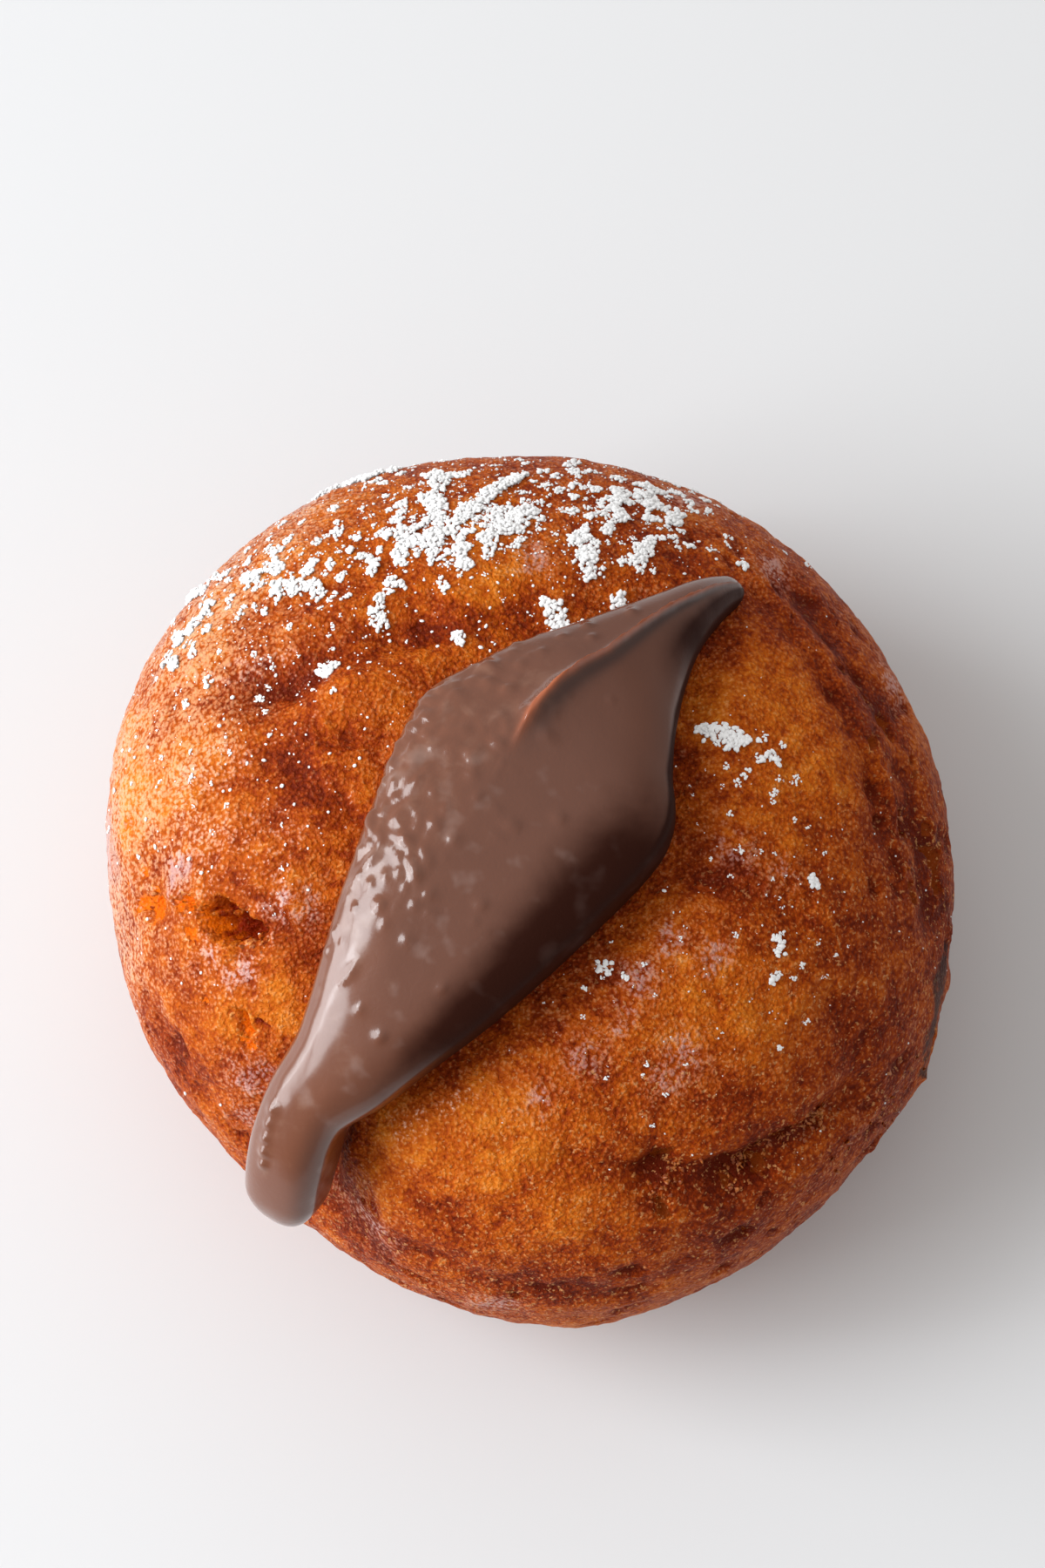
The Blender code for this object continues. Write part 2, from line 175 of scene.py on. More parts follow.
# Where the crust's tone is darker along the folds: start, end, half width, how much
DARKER_FOLDS = (
    ((150, 43), (132, 49), 2, 0.2), ((122, 51), (92, 53), 2.1, 0.8), ((176, 46), (152, 44), 2, 0.2),
    ((289, 26), (303, 20), 2.2, 0.6), ((300, 21), (314, 19), 2, 0.6), ((44, 24), (18, 22), 2.2, 0.5),
    ((10, 22), (350, 17), 2.2, 0.5),
)
CREASE_DARKENING = 0.25  # how much of a fold's darkening a crease has
# Shallow creases of the crust, between its folds: start, end, half width, depth
CREASES = (
    ((176, 36), (161, 54), 1.8, 0.6), ((161, 54), (152, 62), 1.6, 0.5), ((23, 31), (7, 29), 1.6, 0.6),
    ((7, 29), (351, 25), 1.5, 0.6), ((335, 58), (338, 41), 1.8, 0.6), ((274, 48), (293, 54), 1.6, 0.4),
    ((274, 31), (290, 26), 1.6, 0.6), ((121, 34), (117, 52), 1.6, 0.4), ((160, 28), (152, 41), 1.8, 0.5),
    ((328, 30), (323, 17), 1.8, 0.5), ((46, 31), (25, 31), 1.6, 0.5), ((142, 32), (127, 41), 1.7, 0.5),
    ((182, 56), (172, 48), 1.8, 0.6), ((240, 24), (262, 20), 1.8, 0.4), ((205, 12), (225, 8), 2, 0.6),
    ((255, 12), (285, 8), 1.8, 0.5), ((70, 12), (110, 8), 2.2, 0.6), ((125, 5), (160, 2), 2.2, 0.6),
    ((30, 2), (60, 6), 2, 0.6),
)
# Torn holes in the crust: direction, radius across, radius up, depth
TORN_HOLES = (
    ((198, 33), 1.5, 1.6, 3.4), ((201, 35), 1.5, 1.5, 3.8), ((204, 37), 1.1, 0.9, 2.8), ((194, 30), 0.9, 0.8, 1.6),
    ((191, 23), 1.2, 1.5, 1.5), ((189, 20), 0.8, 1, 1.1), ((193, 28), 1.1, 0.6, 1.3), ((199, 28), 0.8, 0.8, 0.6),
    ((186, 16), 1, 0.5, 1), ((186, 22), 0.5, 0.4, 0.8), ((178, 21), 0.5, 0.6, 0.8), ((208, 24), 0.3, 0.7, 0.6),
    ((214, 28), 1, 0.8, 1.7), ((216, 27), 0.9, 0.9, 1.6), ((218, 25), 0.8, 0.8, 1.3), ((218, 29), 0.5, 0.4, 1),
    ((291, 27), 1.2, 0.7, 1.2), ((289, 22), 0.8, 0.6, 1), ((287, 25), 0.6, 0.4, 0.6), ((299, 19), 0.8, 0.4, 0.7),
    ((304, 19), 1.5, 0.6, 1.4), ((309, 21), 1.3, 0.5, 1.2), ((314, 19), 1, 0.4, 0.8), ((297, 24), 0.7, 0.4, 0.5),
    ((23, 24), 1.4, 0.6, 0.8), ((18, 22), 1.5, 0.7, 1), ((14, 27), 1, 0.6, 0.7), ((2, 23), 1.5, 0.6, 1.3),
    ((2, 17), 0.9, 0.5, 0.8), ((357, 15), 2, 1.1, 1.6), ((351, 22), 0.9, 0.5, 0.8), ((12, 19), 1.1, 0.5, 0.7),
    ((258, 17), 0.5, 0.4, 0.6), ((268, 8), 0.7, 0.4, 0.7), ((299, 12), 0.8, 0.4, 0.7), ((306, 5), 0.7, 0.5, 0.7),
    ((245, 14), 0.6, 0.4, 0.6), ((247, 15), 0.4, 0.4, 0.5), ((243, 16), 0.5, 0.3, 0.5), ((337, 3), 1.2, 1, 1.2),
)
TORN_OPEN = 0.8  # of the solid's smooth hollows, which the torn holes take the place of
# The crust's grid is drawn together round these, for ragged edges: middle, reach and pull
FINER_PLACES = ((201, 31), 0.34, 0.62), ((302, 22), 0.36, 0.5)
# Small knobs on the rim: direction, radius, height
KNOBS = (
    ((350, 9), 1.1, 0.7), ((345, 3), 1.6, 0.5), ((332, 2), 1, 0.6), ((353, 13), 0.9, 0.5), ((321, 1), 0.9, 0.5),
    ((290, 24), 1, 0.5), ((302, 22), 1.1, 0.5), ((204, 33), 0.8, 0.5), ((312, 23), 0.9, 0.5), ((8, 22), 1.2, 0.5),
)
# Burnt places on the rim and a black crumb: direction, radius
BURNT = ((345, 9), 2.6), ((341, 9), 3.2), ((337, 7), 3.0), ((333, 4), 1.8), ((281, 9), 0.6)
# Small burst bubbles in bands round the rim: bearings, rises, number, radii
RIM_PITS = (
    ((-14, 62), (4, 30), 60, (0.3, 0.9)), ((236, 330), (-4, 16), 30, (0.5, 1.1)),
    ((60, 236), (-8, 14), 26, (0.5, 1.2)),
)
RIM_PIT_DEPTH = 0.6  # of the radius
RIM_PIT_STRETCH = 1.7  # along the rim
RIM_PIT_SEED = 11

# Bumps in the cream, from grains and bubbles under its skin: place along, place across, radius, height
CREAM_BUMPS = (
    (0.56, -0.72, 0.8, 0.34), (0.55, -0.6, 0.6, 0.28), (0.525, -0.66, 0.6, 0.26), (0.51, -0.6, 0.5, 0.2),
    (0.6, -0.78, 0.55, 0.22), (0.64, -0.86, 0.5, 0.2), (0.5, -0.16, 0.7, 0.26), (0.49, -0.34, 0.45, 0.16),
    (0.57, -0.3, 0.5, 0.18), (0.56, -0.44, 0.4, 0.16), (0.475, -0.5, 0.5, 0.2), (0.445, -0.26, 0.6, 0.3),
    (0.385, -0.07, 0.55, 0.28), (0.365, 0.36, 0.45, 0.25), (0.43, -0.3, 0.4, 0.2), (0.4, -0.42, 0.35, 0.18),
    (0.158, -0.42, 0.7, 0.4), (0.143, -0.37, 0.6, 0.36), (0.128, -0.32, 0.6, 0.36), (0.113, -0.27, 0.6, 0.34),
    (0.099, -0.22, 0.5, 0.3), (0.3, -0.1, 0.4, 0.2), (0.535, -0.73, 1, 0.5), (0.6, -0.6, 0.6, 0.3),
)
# Further small bumps at random: number, radius with its power, height by radius, place along, place across
CREAM_BUMP_COUNT = 345
CREAM_BUMP_RADII, CREAM_BUMP_POWER, CREAM_BUMP_HEIGHT = (0.25, 0.7), 1.3, 0.5
CREAM_BUMPS_ALONG, CREAM_BUMPS_ACROSS = (0.56, 0.1), (0, 0.45)
CREAM_BUMPS_LEFT, CREAM_BUMPS_RIGHT = -0.97, 0.4
CREAM_BUMP_SEED = 5

# Beds of icing sugar: start, end, half width, how full they are
SUGAR_BEDS = (
    ((114, 37), (109, 39), 2.3, 0.85), ((104, 23), (107, 34), 1.1, 0.9), ((119, 12), (110, 17), 1.1, 0.7),
    ((103, 36), (91, 26), 1.1, 0.9), ((100, 41), (91, 34), 1.6, 0.85), ((104, 39), (105, 45), 0.8, 0.7),
    ((80, 38), (77, 44), 1.1, 0.75), ((76, 27), (74, 33), 1.1, 0.7), ((72, 23), (70, 29), 1.3, 0.8),
    ((66, 26), (66, 29), 0.9, 0.7), ((68, 35), (68, 39), 0.9, 0.8), ((68, 46), (67, 48), 0.7, 0.8),
    ((84, 52), (75, 54), 1.3, 0.75), ((53, 28), (51, 27), 0.8, 0.7), ((138, 26), (134, 28), 1.1, 0.65),
    ((137, 31), (131, 38), 1, 0.6), ((142, 12), (141, 17), 0.9, 0.8), ((144, 23), (148, 23), 0.9, 0.75),
    ((149, 20), (151, 24), 0.7, 0.6), ((154, 21), (154, 25), 0.6, 0.7), ((122, 33), (120, 45), 0.8, 0.4),
    ((126, 44), (128, 47), 0.8, 0.6), ((112, 55), (113, 57), 0.7, 0.8), ((145, 46), (143, 46), 0.7, 0.7),
    ((24, 53), (20, 51), 1.1, 0.85), ((18, 52), (17, 49), 0.8, 0.7), ((15, 47), (11, 46), 0.8, 0.4),
    ((331, 42), (329, 41), 0.45, 0.7), ((346, 40), (344, 39), 0.5, 0.5), ((325, 40), (324, 40), 0.4, 0.7),
    ((296, 53), (292, 55), 0.8, 0.4),
)
CLUMP_SHARE = 0.72  # of the solid's clumps, as they are made of finer grains
FRONT_CLUMP_SHARE = 0.38  # of those in front of the sugar's drifts
FRONT_CLUMPS_END = 0.25  # in the +Y part of their direction
CLUMP_GRAIN = 0.3 * MM  # the largest grain of a clump
BED_STEP = 0.22 * MM  # between the grains of a bed
BED_GRAIN = (0.14 * MM, 0.32 * MM)
BED_EDGE = 0.45  # where a bed ends: the lower, the fuller
# Loose smaller lumps round the beds: middle, spread, number, largest radius
SUGAR_SCATTER = (
    ((110, 34), 9, 81, 0.6), ((95, 33), 8, 62, 0.6), ((80, 32), 9, 76, 0.65), ((68, 28), 7, 40, 0.65),
    ((137, 24), 8, 46, 0.6), ((130, 36), 8, 35, 0.55), ((150, 24), 8, 35, 0.5), ((155, 38), 8, 16, 0.42),
    ((12, 48), 6, 19, 0.45), ((350, 48), 9, 16, 0.36), ((330, 42), 8, 19, 0.4), ((300, 48), 10, 22, 0.36),
    ((172, 32), 11, 22, 0.36), ((190, 42), 9, 11, 0.34), ((100, 12), 17, 49, 0.6), ((60, 14), 14, 24, 0.55),
)
# The groove that something drew through the sugar: its ends and half width
SUGAR_GROOVE = ((104, 39), (89, 25), 0.55)
# Single fine grains: middle, spread, number, largest radius
DUST = (
    ((106, 34), 18, 420, 0.12), ((74, 34), 16, 240, 0.12), ((140, 30), 16, 240, 0.12),
    ((330, 46), 24, 160, 0.12), ((164, 40), 26, 190, 0.25), ((98, 38), 22, 300, 0.22),
)
DUST_SMALLEST = 0.05 * MM
SUGAR_FINE_SEED = 21

# Thin flakes of lifted crust: start and end of their line, spread, number
FLAKE_LINES = (
    ((287, 23), (293, 25), 1.6, 60), ((299, 18), (304, 21), 1.4, 50), ((304, 21), (318, 18), 1.6, 110),
    ((204, 38), (207, 36), 1, 12), ((310, 12), (330, 8), 4, 50), ((350, 20), (10, 24), 2.4, 26),
)
FLAKE_SEED = 9
FLAKE_LENGTH = (0.2, 0.75)
FLAKE_WIDTH = (0.2, 0.5)  # of the length
FLAKE_THICKNESS = 0.03 * MM

# -------- colours, as sRGB from 0 to 255
# The crust from red-brown valleys, through orange-brown, to translucent amber: place on the ramp, colour
CRUST_TONES = (
    (0, (102, 26, 2)), (0.25, (146, 50, 3)), (0.5, (188, 84, 10)), (0.75, (214, 114, 24)), (1, (234, 144, 56)),
)
# Torn places: a painted lit colour, painted shaded colours, and pale crumbs
TORN_LIT, TORN_SHADED, TORN_SHADED_FAR_SIDE, TORN_CRUMBS = (232, 108, 8), (128, 30, 1), (134, 54, 8), (246, 176, 104)
SUGAR_FILM_AND_SHEEN, SUGAR_BLOOM = (236, 172, 126), (204, 162, 160)
CRUST_SPECKS, CRUST_BURNT = (218, 152, 96), (52, 34, 32)
# Cream: painted light and shade, the lit left, the shaded right, the shade and the shadow beside the crest
CREAM_SHADED_RIGHT, CREAM_LIT_LEFT, CREAM_SHADE, CREAM_CREST_SHADOW = (98, 51, 29), (113, 62, 38), (46, 14, 3), (48, 17, 6)
CREAM_CLOUDS, CREAM_SMUDGES, CREAM_LIT_CREST = (150, 110, 88), (158, 132, 124), (196, 102, 58)
# SUGAR_GLOW is the colour of the sugar's painted glow
SUGAR_HOLLOW, SUGAR_TOP, SUGAR_GLOW = (246, 245, 245), (255, 255, 255), (255, 250, 248)
FLAKE_DARK, FLAKE_LIGHT = (140, 58, 12), (196, 112, 46)

# -------- camera, light, table
CAMERA_ELEVATION = math.radians(72)
CAMERA_DISTANCE = 394 * MM
CAMERA_LENS = 85
CAMERA_TARGET = (-0.8 * MM, 0, 0)
CAMERA_RAISE = 10.3 * MM
ROOM_BRIGHT_SIDE = (-0.6, 0.35, 0.72)
ROOM_DARK = 0.4
ROOM_BRIGHT = 0.74
# Linear colours of the room, the window and the table
ROOM_COLOUR, WINDOW_COLOUR, TABLE_GREY = (1.0, 0.98, 0.955), (0.93, 0.97, 1.0), (0.77, 0.77, 0.78)
TABLE_SIZE = 6
# Panes of the window: name, middle, size, watts
WINDOW = (
    ("window_low_pane", (-0.95, 0.09, 0.40), (0.50, 0.46), 4.2),
    ("window_high_pane", (-0.69, 0.07, 0.77), (0.42, 0.40), 3.5),
    ("window_side_pane", (-0.94, -0.33, 0.21), (0.44, 0.40), 2.8),
    ("window_side_high_pane", (-0.80, -0.24, 0.62), (0.40, 0.42), 2.8),
)


def unit(rows):
    return rows / np.linalg.norm(rows, axis=-1, keepdims=True)


def toward(bearing, rise):
    """The unit vector of a direction given in degrees."""
    turn, lift = math.radians(bearing), math.radians(rise)
    return np.array([math.cos(turn) * math.cos(lift), math.sin(turn) * math.cos(lift), math.sin(lift)])


def ball(directions):
    """Points of the plain ball, from the middle of the waist."""
    across = np.hypot(directions[:, 0] / DOUGH_HALF_WIDTH, directions[:, 1] / DOUGH_HALF_DEPTH)
    half_height = np.where(directions[:, 2] > 0, DOUGH_CROWN, DOUGH_BELLY)
    up = np.abs(directions[:, 2]) / half_height
    reach = (across**DOUGH_FULLNESS + up**DOUGH_FULLNESS) ** (-1 / DOUGH_FULLNESS)
    return directions * reach[:, None]


def on_ball(direction):
    """The point of the plain ball in a direction given in degrees."""
    return ball(toward(*direction)[None])[0]


def ball_normals(points):
    """Outward normals of the plain ball at its own points."""
    half_height = np.where(points[:, 2] > 0, DOUGH_CROWN, DOUGH_BELLY)
    across = np.hypot(points[:, 0] / DOUGH_HALF_WIDTH, points[:, 1] / DOUGH_HALF_DEPTH).clip(1e-9)
    slope = across ** (DOUGH_FULLNESS - 2)
    lift = np.abs(points[:, 2] / half_height) ** (DOUGH_FULLNESS - 1) * np.sign(points[:, 2]) / half_height
    width, depth = slope * points[:, 0] / DOUGH_HALF_WIDTH**2, slope * points[:, 1] / DOUGH_HALF_DEPTH**2
    return unit(np.stack([width, depth, lift], 1))


def through(rows, steps):
    """A smooth curve through rows of numbers, as Catmull-Rom, with the end rows kept."""
    rows = np.asarray(rows, float)
    padded = np.vstack([2 * rows[0] - rows[1], rows, 2 * rows[-1] - rows[-2]])
    place = np.linspace(0, len(rows) - 1, steps)
    first = np.minimum(place.astype(int), len(rows) - 2)
    t = (place - first)[:, None]
    before, start, end, after = (padded[first + k] for k in range(4))
    return 0.5 * (
        2 * start
        + (end - before) * t
        + (2 * before - 5 * start + 4 * end - after) * t**2
        + (3 * start - before - 3 * end + after) * t**3
    )


def fade(values, start, length):
    """From 0 at the start to 1 past the length."""
    return ((values - start) / length).clip(0, 1)


class Slit:
    """The line of the slit over the ball, evenly stepped: its points, axes and the cream's sizes."""

    def __init__(self):
        rows = [[*toward(*direction), *(np.array(sizes) * MM), place] for direction, *sizes, place in CREAM_STATIONS]
        fine = through(rows, PATH_STEPS)
        points = ball(unit(fine[:, :3]))
        run = np.concatenate([[0], np.cumsum(np.linalg.norm(np.diff(points, axis=0), axis=1))])
        even = np.linspace(0, run[-1], PATH_STEPS)
        columns = np.stack([np.interp(even, run, column) for column in np.hstack([points, fine[:, 3:]]).T], 1)
        self.length = run[-1]
        self.points = ball(unit(columns[:, :3]))
        self.half_width = columns[:, 3].clip(0.1 * MM)
        self.height, self.crest, self.crest_place = columns[:, 4], columns[:, 5].clip(0), columns[:, 6]
        self.up = ball_normals(self.points)
        along = unit(np.gradient(self.points, axis=0))
        self.right = unit(np.cross(along, self.up))

    def at(self, name, share):
        """One of the slit's rows, read at shares of its length from 0 to 1."""
        values = getattr(self, name)
        place = np.linspace(0, 1, PATH_STEPS)
        if values.ndim == 1:
            return np.interp(share, place, values)
        return np.stack([np.interp(share, place, column) for column in values.T], 1)

    def nearest(self, points):
        """For each point, its distance from the slit's line and the cream's half width there."""
        apart = np.empty(len(points))
        half_width = np.empty(len(points))
        for start in range(0, len(points), 8000):
            some = slice(start, start + 8000)
            far = np.linalg.norm(points[some, None] - self.points[None], axis=2)
            closest = far.argmin(axis=1)
            apart[some] = far[np.arange(len(far)), closest]
            half_width[some] = self.half_width[closest]
        return apart, half_width


SLIT = Slit()


def distance_to_arc(points, start, end):
    """Distance from each point to the line that runs over the ball between two directions."""
    share = np.linspace(0, 1, 24)[:, None]
    line = ball(unit((1 - share) * toward(*start) + share * toward(*end)))
    return np.min([np.linalg.norm(points - place, axis=1) for place in line], axis=0)


def along_arc(points, start, end, half_width):
    """A soft mask along the line over the ball between two directions."""
    return np.exp(-((distance_to_arc(points, start, end) / (half_width * MM)) ** 2))


def near(points, direction, reach, power=2):
    """A soft round mask: 1 where the direction meets the ball and about 0 past the reach."""
    far = np.linalg.norm(points - on_ball(direction), axis=1)
    return np.exp(-((far / (reach * MM)) ** power))


def spots(points, places):
    """One mask of many soft round places, given as direction and radius."""
    return np.max([near(points, *place) for place in places], axis=0)


def oval_distance(points, middle, across, up):
    """Distance from a point of the ball, in half sizes of an oval that lies across the ball and up it."""
    offset = points - middle
    along = offset @ unit(np.cross((0, 0, 1), middle))
    return np.sqrt((along / across) ** 2 + np.maximum((offset**2).sum(1) - along**2, 0) / up**2)


def wander(rng, deviation):
    """A random offset, alike in all directions."""
    return np.array([rng.gauss(0, deviation) for _ in range(3)])


def crust_lumps(points):
    """The crust's small lumps and hollows, as height over the ball."""
    rng = random.Random(CRUST_SEED)
    relief = np.zeros(len(points))
    for _ in range(CRUST_LUMPS):
        middle = ball(unit(wander(rng, 1))[None])
        reach = rng.uniform(*CRUST_LUMP_REACH)
        height = rng.uniform(-CRUST_LUMP_HEIGHT, CRUST_LUMP_HEIGHT)
        relief += height * np.exp(-((np.linalg.norm(points - middle, axis=1) / reach) ** 2))
    return relief


def smooth_pits(points):
    """How deep the burst bubbles of the solid are, at the ball's points."""
    return sum(depth * MM * near(points, direction, radius, 4) for direction, radius, depth in PITS)


def dough_relief(points):
    """How far the crust stands out from the plain ball, at the ball's points."""
    relief = crust_lumps(points)
    for direction, reach, height in SWELLINGS:
        relief += height * MM * near(points, direction, reach)
    for start, end, half_width, depth in FOLDS:
        relief -= depth * MM * along_arc(points, start, end, half_width)
    relief -= smooth_pits(points)
    apart, half_width = SLIT.nearest(points)
    inside = (1 - (apart / half_width).clip(0, 1) ** 2) ** 1.5
    outside = np.exp(-(((apart - half_width).clip(0) / LIP_REACH) ** 2))
    relief -= POCKET_DEPTH * half_width * inside
    relief -= LIP_DIP * outside * np.minimum(1, half_width / LIP_REACH)
    return relief


def dough_points(directions):
    """Points of the dough on the table, for unit directions from the middle of the waist."""
    plain = ball(directions)
    points = plain + directions * dough_relief(plain)[:, None]
    points[:, 2] = np.maximum(points[:, 2] + WAIST_HEIGHT, 0)
    return points


def rim_pits(points):
    """The small burst bubbles round the rim, from 0 to 1, with their depth in metres."""
    rng = random.Random(RIM_PIT_SEED)
    mask, depth = np.zeros(len(points)), np.zeros(len(points))
    for bearings, rises, count, radii in RIM_PITS:
        for _ in range(count):
            middle = on_ball((rng.uniform(*bearings), rng.uniform(*rises)))
            radius = rng.uniform(*radii) * MM
            hole = np.exp(-(oval_distance(points, middle, radius * RIM_PIT_STRETCH, radius) ** 4))
            mask = np.maximum(mask, hole)
            depth = np.maximum(depth, hole * radius * RIM_PIT_DEPTH)
    return mask, depth


def crest_line(share):
    """The crest's place across the cream, in half widths."""
    return np.interp(share, *zip(*CREST_LINE))


def crest_sharpness(share):
    """From 0 where the crest is a soft swell to 1 where it has its lip."""
    return fade(share, *CREST_FOOT)


def hump(share, place, half_length, height):
    return height * np.exp(-(((share - place) / half_length) ** 2))


def cream_points(share, turn):
    """Points of the cream: share is the place along the slit, turn the angle round its section."""
    half_width = SLIT.at("half_width", share)
    height = SLIT.at("height", share)
    from_end = (share * SLIT.length / CREAM_END).clip(0, 1)
    from_tip = ((1 - share) * SLIT.length / CREAM_TIP).clip(0, 1)
    cap = np.sqrt(1 - (1 - from_end) ** 2) * np.sqrt(1 - (1 - from_tip) ** 2)
    across = np.sign(np.cos(turn)) * np.abs(np.cos(turn)) ** (2 / CREAM_SQUARENESS)
    upward = np.sign(np.sin(turn)) * np.abs(np.sin(turn)) ** (2 / CREAM_SQUARENESS)
    widest = CREAM_WIDEST * height
    keel = POCKET_DEPTH * half_width + LIP_DIP
    off = np.abs(across).clip(0, 1)
    flank = (1 - CREAM_DOME * off**4) * np.sqrt(1 - off**CREAM_RIM)
    broad = fade(half_width / MM, 5, 4)
    domed = np.where(upward > 0, upward + broad * (flank - upward), upward)
    rise = widest + np.where(upward > 0, (height - widest) * domed, (widest + keel) * upward)
    from_crest = across - crest_line(share)
    crest_height = SLIT.at("crest", share)
    sharp = crest_sharpness(share)
    face = CREST_BACK * np.exp(-np.abs(from_crest) / CREST_BACK_SLACK)
    face += (1 - CREST_BACK) * np.exp(-np.abs(from_crest) / (CREST_STEEP + CREST_SOFTER * (1 - sharp)))
    crest = CREST_HEIGHT * crest_height * np.where(from_crest < 0, face, np.exp(-np.abs(from_crest) / CREST_SLACK))
    ripple = 1 + sum(high * np.sin(share * waves + start) for high, waves, start in CREST_RIPPLES)
    bold = 1 + hump(share, *LIP_BOLD)
    lip = CREST_LIP * crest_height * ripple * sharp * bold + hump(share, *CREST_BEAK)
    crest = (crest + lip * np.exp(-np.abs(from_crest) / (CREST_LIP_WIDTH * bold))) * upward.clip(0)
    rise = widest + (rise + crest - widest) * cap
    points = SLIT.at("points", share)
    points = points + SLIT.at("right", share) * (across * half_width * cap - CREST_LEAN * crest)[:, None]
    points = points + SLIT.at("up", share) * rise[:, None]
    points[:, 2] += WAIST_HEIGHT
    return points


# -------- meshes
def fine_noise(points, size, seed=0.0, octaves=2):
    """Smooth noise from -1 to 1 at each point, with lumps of the given size."""
    shift = Vector((seed, seed * 1.7, -seed))
    return np.array([noise.fractal(Vector(p) / size + shift, 1.0, 2.0, octaves) for p in points])


def build_mesh(name, points, faces, masks=None):
    mesh = bpy.data.meshes.new(name)
    mesh.from_pydata(np.clip(points, *CAD_BOX), [], faces)
    mesh.validate()
    mesh.shade_smooth()
    for mask, values in (masks or {}).items():
        mesh.attributes.new(mask, "FLOAT", "POINT").data.foreach_set("value", np.asarray(values, np.float32))
    return mesh


def add_piece(name, mesh, finish, node=None):
    piece = bpy.data.objects.new(name, mesh)
    bpy.context.scene.collection.objects.link(piece)
    mesh.materials.append(finish)
    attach(piece, "root")
    if node:
        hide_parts(node)
    return piece


def taken_from(bm):
    """The corners and the faces of a bmesh, which is freed."""
    corners = np.array([vertex.co for vertex in bm.verts])
    faces = [[vertex.index for vertex in face.verts] for face in bm.faces]
    bm.free()
    return corners, faces


def cube_grid(cuts):
    """Unit directions of a cube's grid blown up to a ball, and its faces."""
    bm = bmesh.new()
    bmesh.ops.create_cube(bm, size=2)
    bmesh.ops.subdivide_edges(bm, edges=bm.edges, cuts=cuts, use_grid_fill=True)
    corners, faces = taken_from(bm)
    return unit(np.tan(corners * math.pi / 4)), faces


def drawn_toward(directions, middle, reach, pull):
    """Draws directions together round a middle, without any of them passing another."""
    angle = np.arccos((directions @ middle).clip(-1, 1))
    side = unit(directions - np.outer(directions @ middle, middle) + 1e-12)
    angle = angle * (1 - pull * np.exp(-((angle / reach) ** 2)))
    return np.outer(np.cos(angle), middle) + side * np.sin(angle)[:, None]


def crust_mesh():
    """The crust with its folds, torn holes and tone masks, and a tree to find places on it."""
    directions, faces = cube_grid(CRUST_CUTS)
    rise = np.arcsin(directions[:, 2].clip(-1, 1))
    rise = rise + CRUST_CROWDING * np.cos(rise)
    level = unit(directions[:, :2] + 1e-12) * np.cos(rise)[:, None]
    directions = np.column_stack([level, np.sin(rise)])
    for direction, reach, pull in FINER_PLACES:
        directions = drawn_toward(directions, toward(*direction), reach, pull)
    plain = ball(directions)
    coarse, fine = fine_noise(plain, 3.0 * MM, 1.0, 3), fine_noise(plain, 1.0 * MM, 5.0, 3)
    relief = dough_relief(plain) + TORN_OPEN * smooth_pits(plain)
    relief += MM * (CRUST_COARSE * coarse + CRUST_FINE * fine - CRUST_SUNK)
    ragged = plain + FOLDS_RAGGED * MM * np.column_stack([coarse, fine, coarse - fine])
    torn = plain + HOLES_RAGGED * MM * np.column_stack([fine, coarse - fine, coarse])
    uneven = plain + TONES_RAGGED * MM * np.column_stack([coarse, fine, coarse])
    fold = np.zeros(len(plain))
    for start, end, half_width, darkening in DARKER_FOLDS:
        fold += darkening * along_arc(ragged, start, end, half_width)
    for start, end, half_width, depth in CREASES:
        crease = along_arc(ragged, start, end, half_width)
        relief -= depth * MM * crease
        fold += CREASE_DARKENING * crease
    # The burst bubbles have ragged edges
    pit, hollow = np.zeros(len(plain)), np.zeros(len(plain))
    for direction, across, up, depth in TORN_HOLES:
        off = oval_distance(torn, on_ball(direction), across * MM, up * MM)
        pit = np.maximum(pit, np.exp(-((off / 1.1) ** 2)))
        hollow = np.maximum(hollow, depth * MM * np.exp(-(off**6)))
    relief -= hollow * (1 + 0.3 * fine)
    rim_pit, rim_depth = rim_pits(ragged)
    relief -= rim_depth
    for direction, radius, height in KNOBS:
        relief += height * MM * near(ragged, direction, radius)
    apart, half_width = SLIT.nearest(plain)
    # painted shade: the crust's tone is darker next to the cream, where the cream shades it
    lip = np.exp(-((apart - half_width).clip(0) / (2.0 * MM)))
    points = plain + directions * relief[:, None]
    points[:, 2] = np.maximum(points[:, 2] + WAIST_HEIGHT, 0)
    masks = {
        "height": 0.5 + (crust_lumps(plain) / (0.7 * MM) + 0.5 * coarse + 0.25 * fine),
        "fold": fold.clip(0, 1),
        "pit": pit,
        "rim_pit": rim_pit,
        "lip": lip,
        "amber": spots(uneven, AMBER),
        "brown": spots(uneven, BROWN),
        "bloom": spots(uneven, BLOOM),
        "burnt": spots(uneven, BURNT),
    }
    return build_mesh("bombolone_crust", points, faces, masks), BVHTree.FromPolygons(points.tolist(), faces)


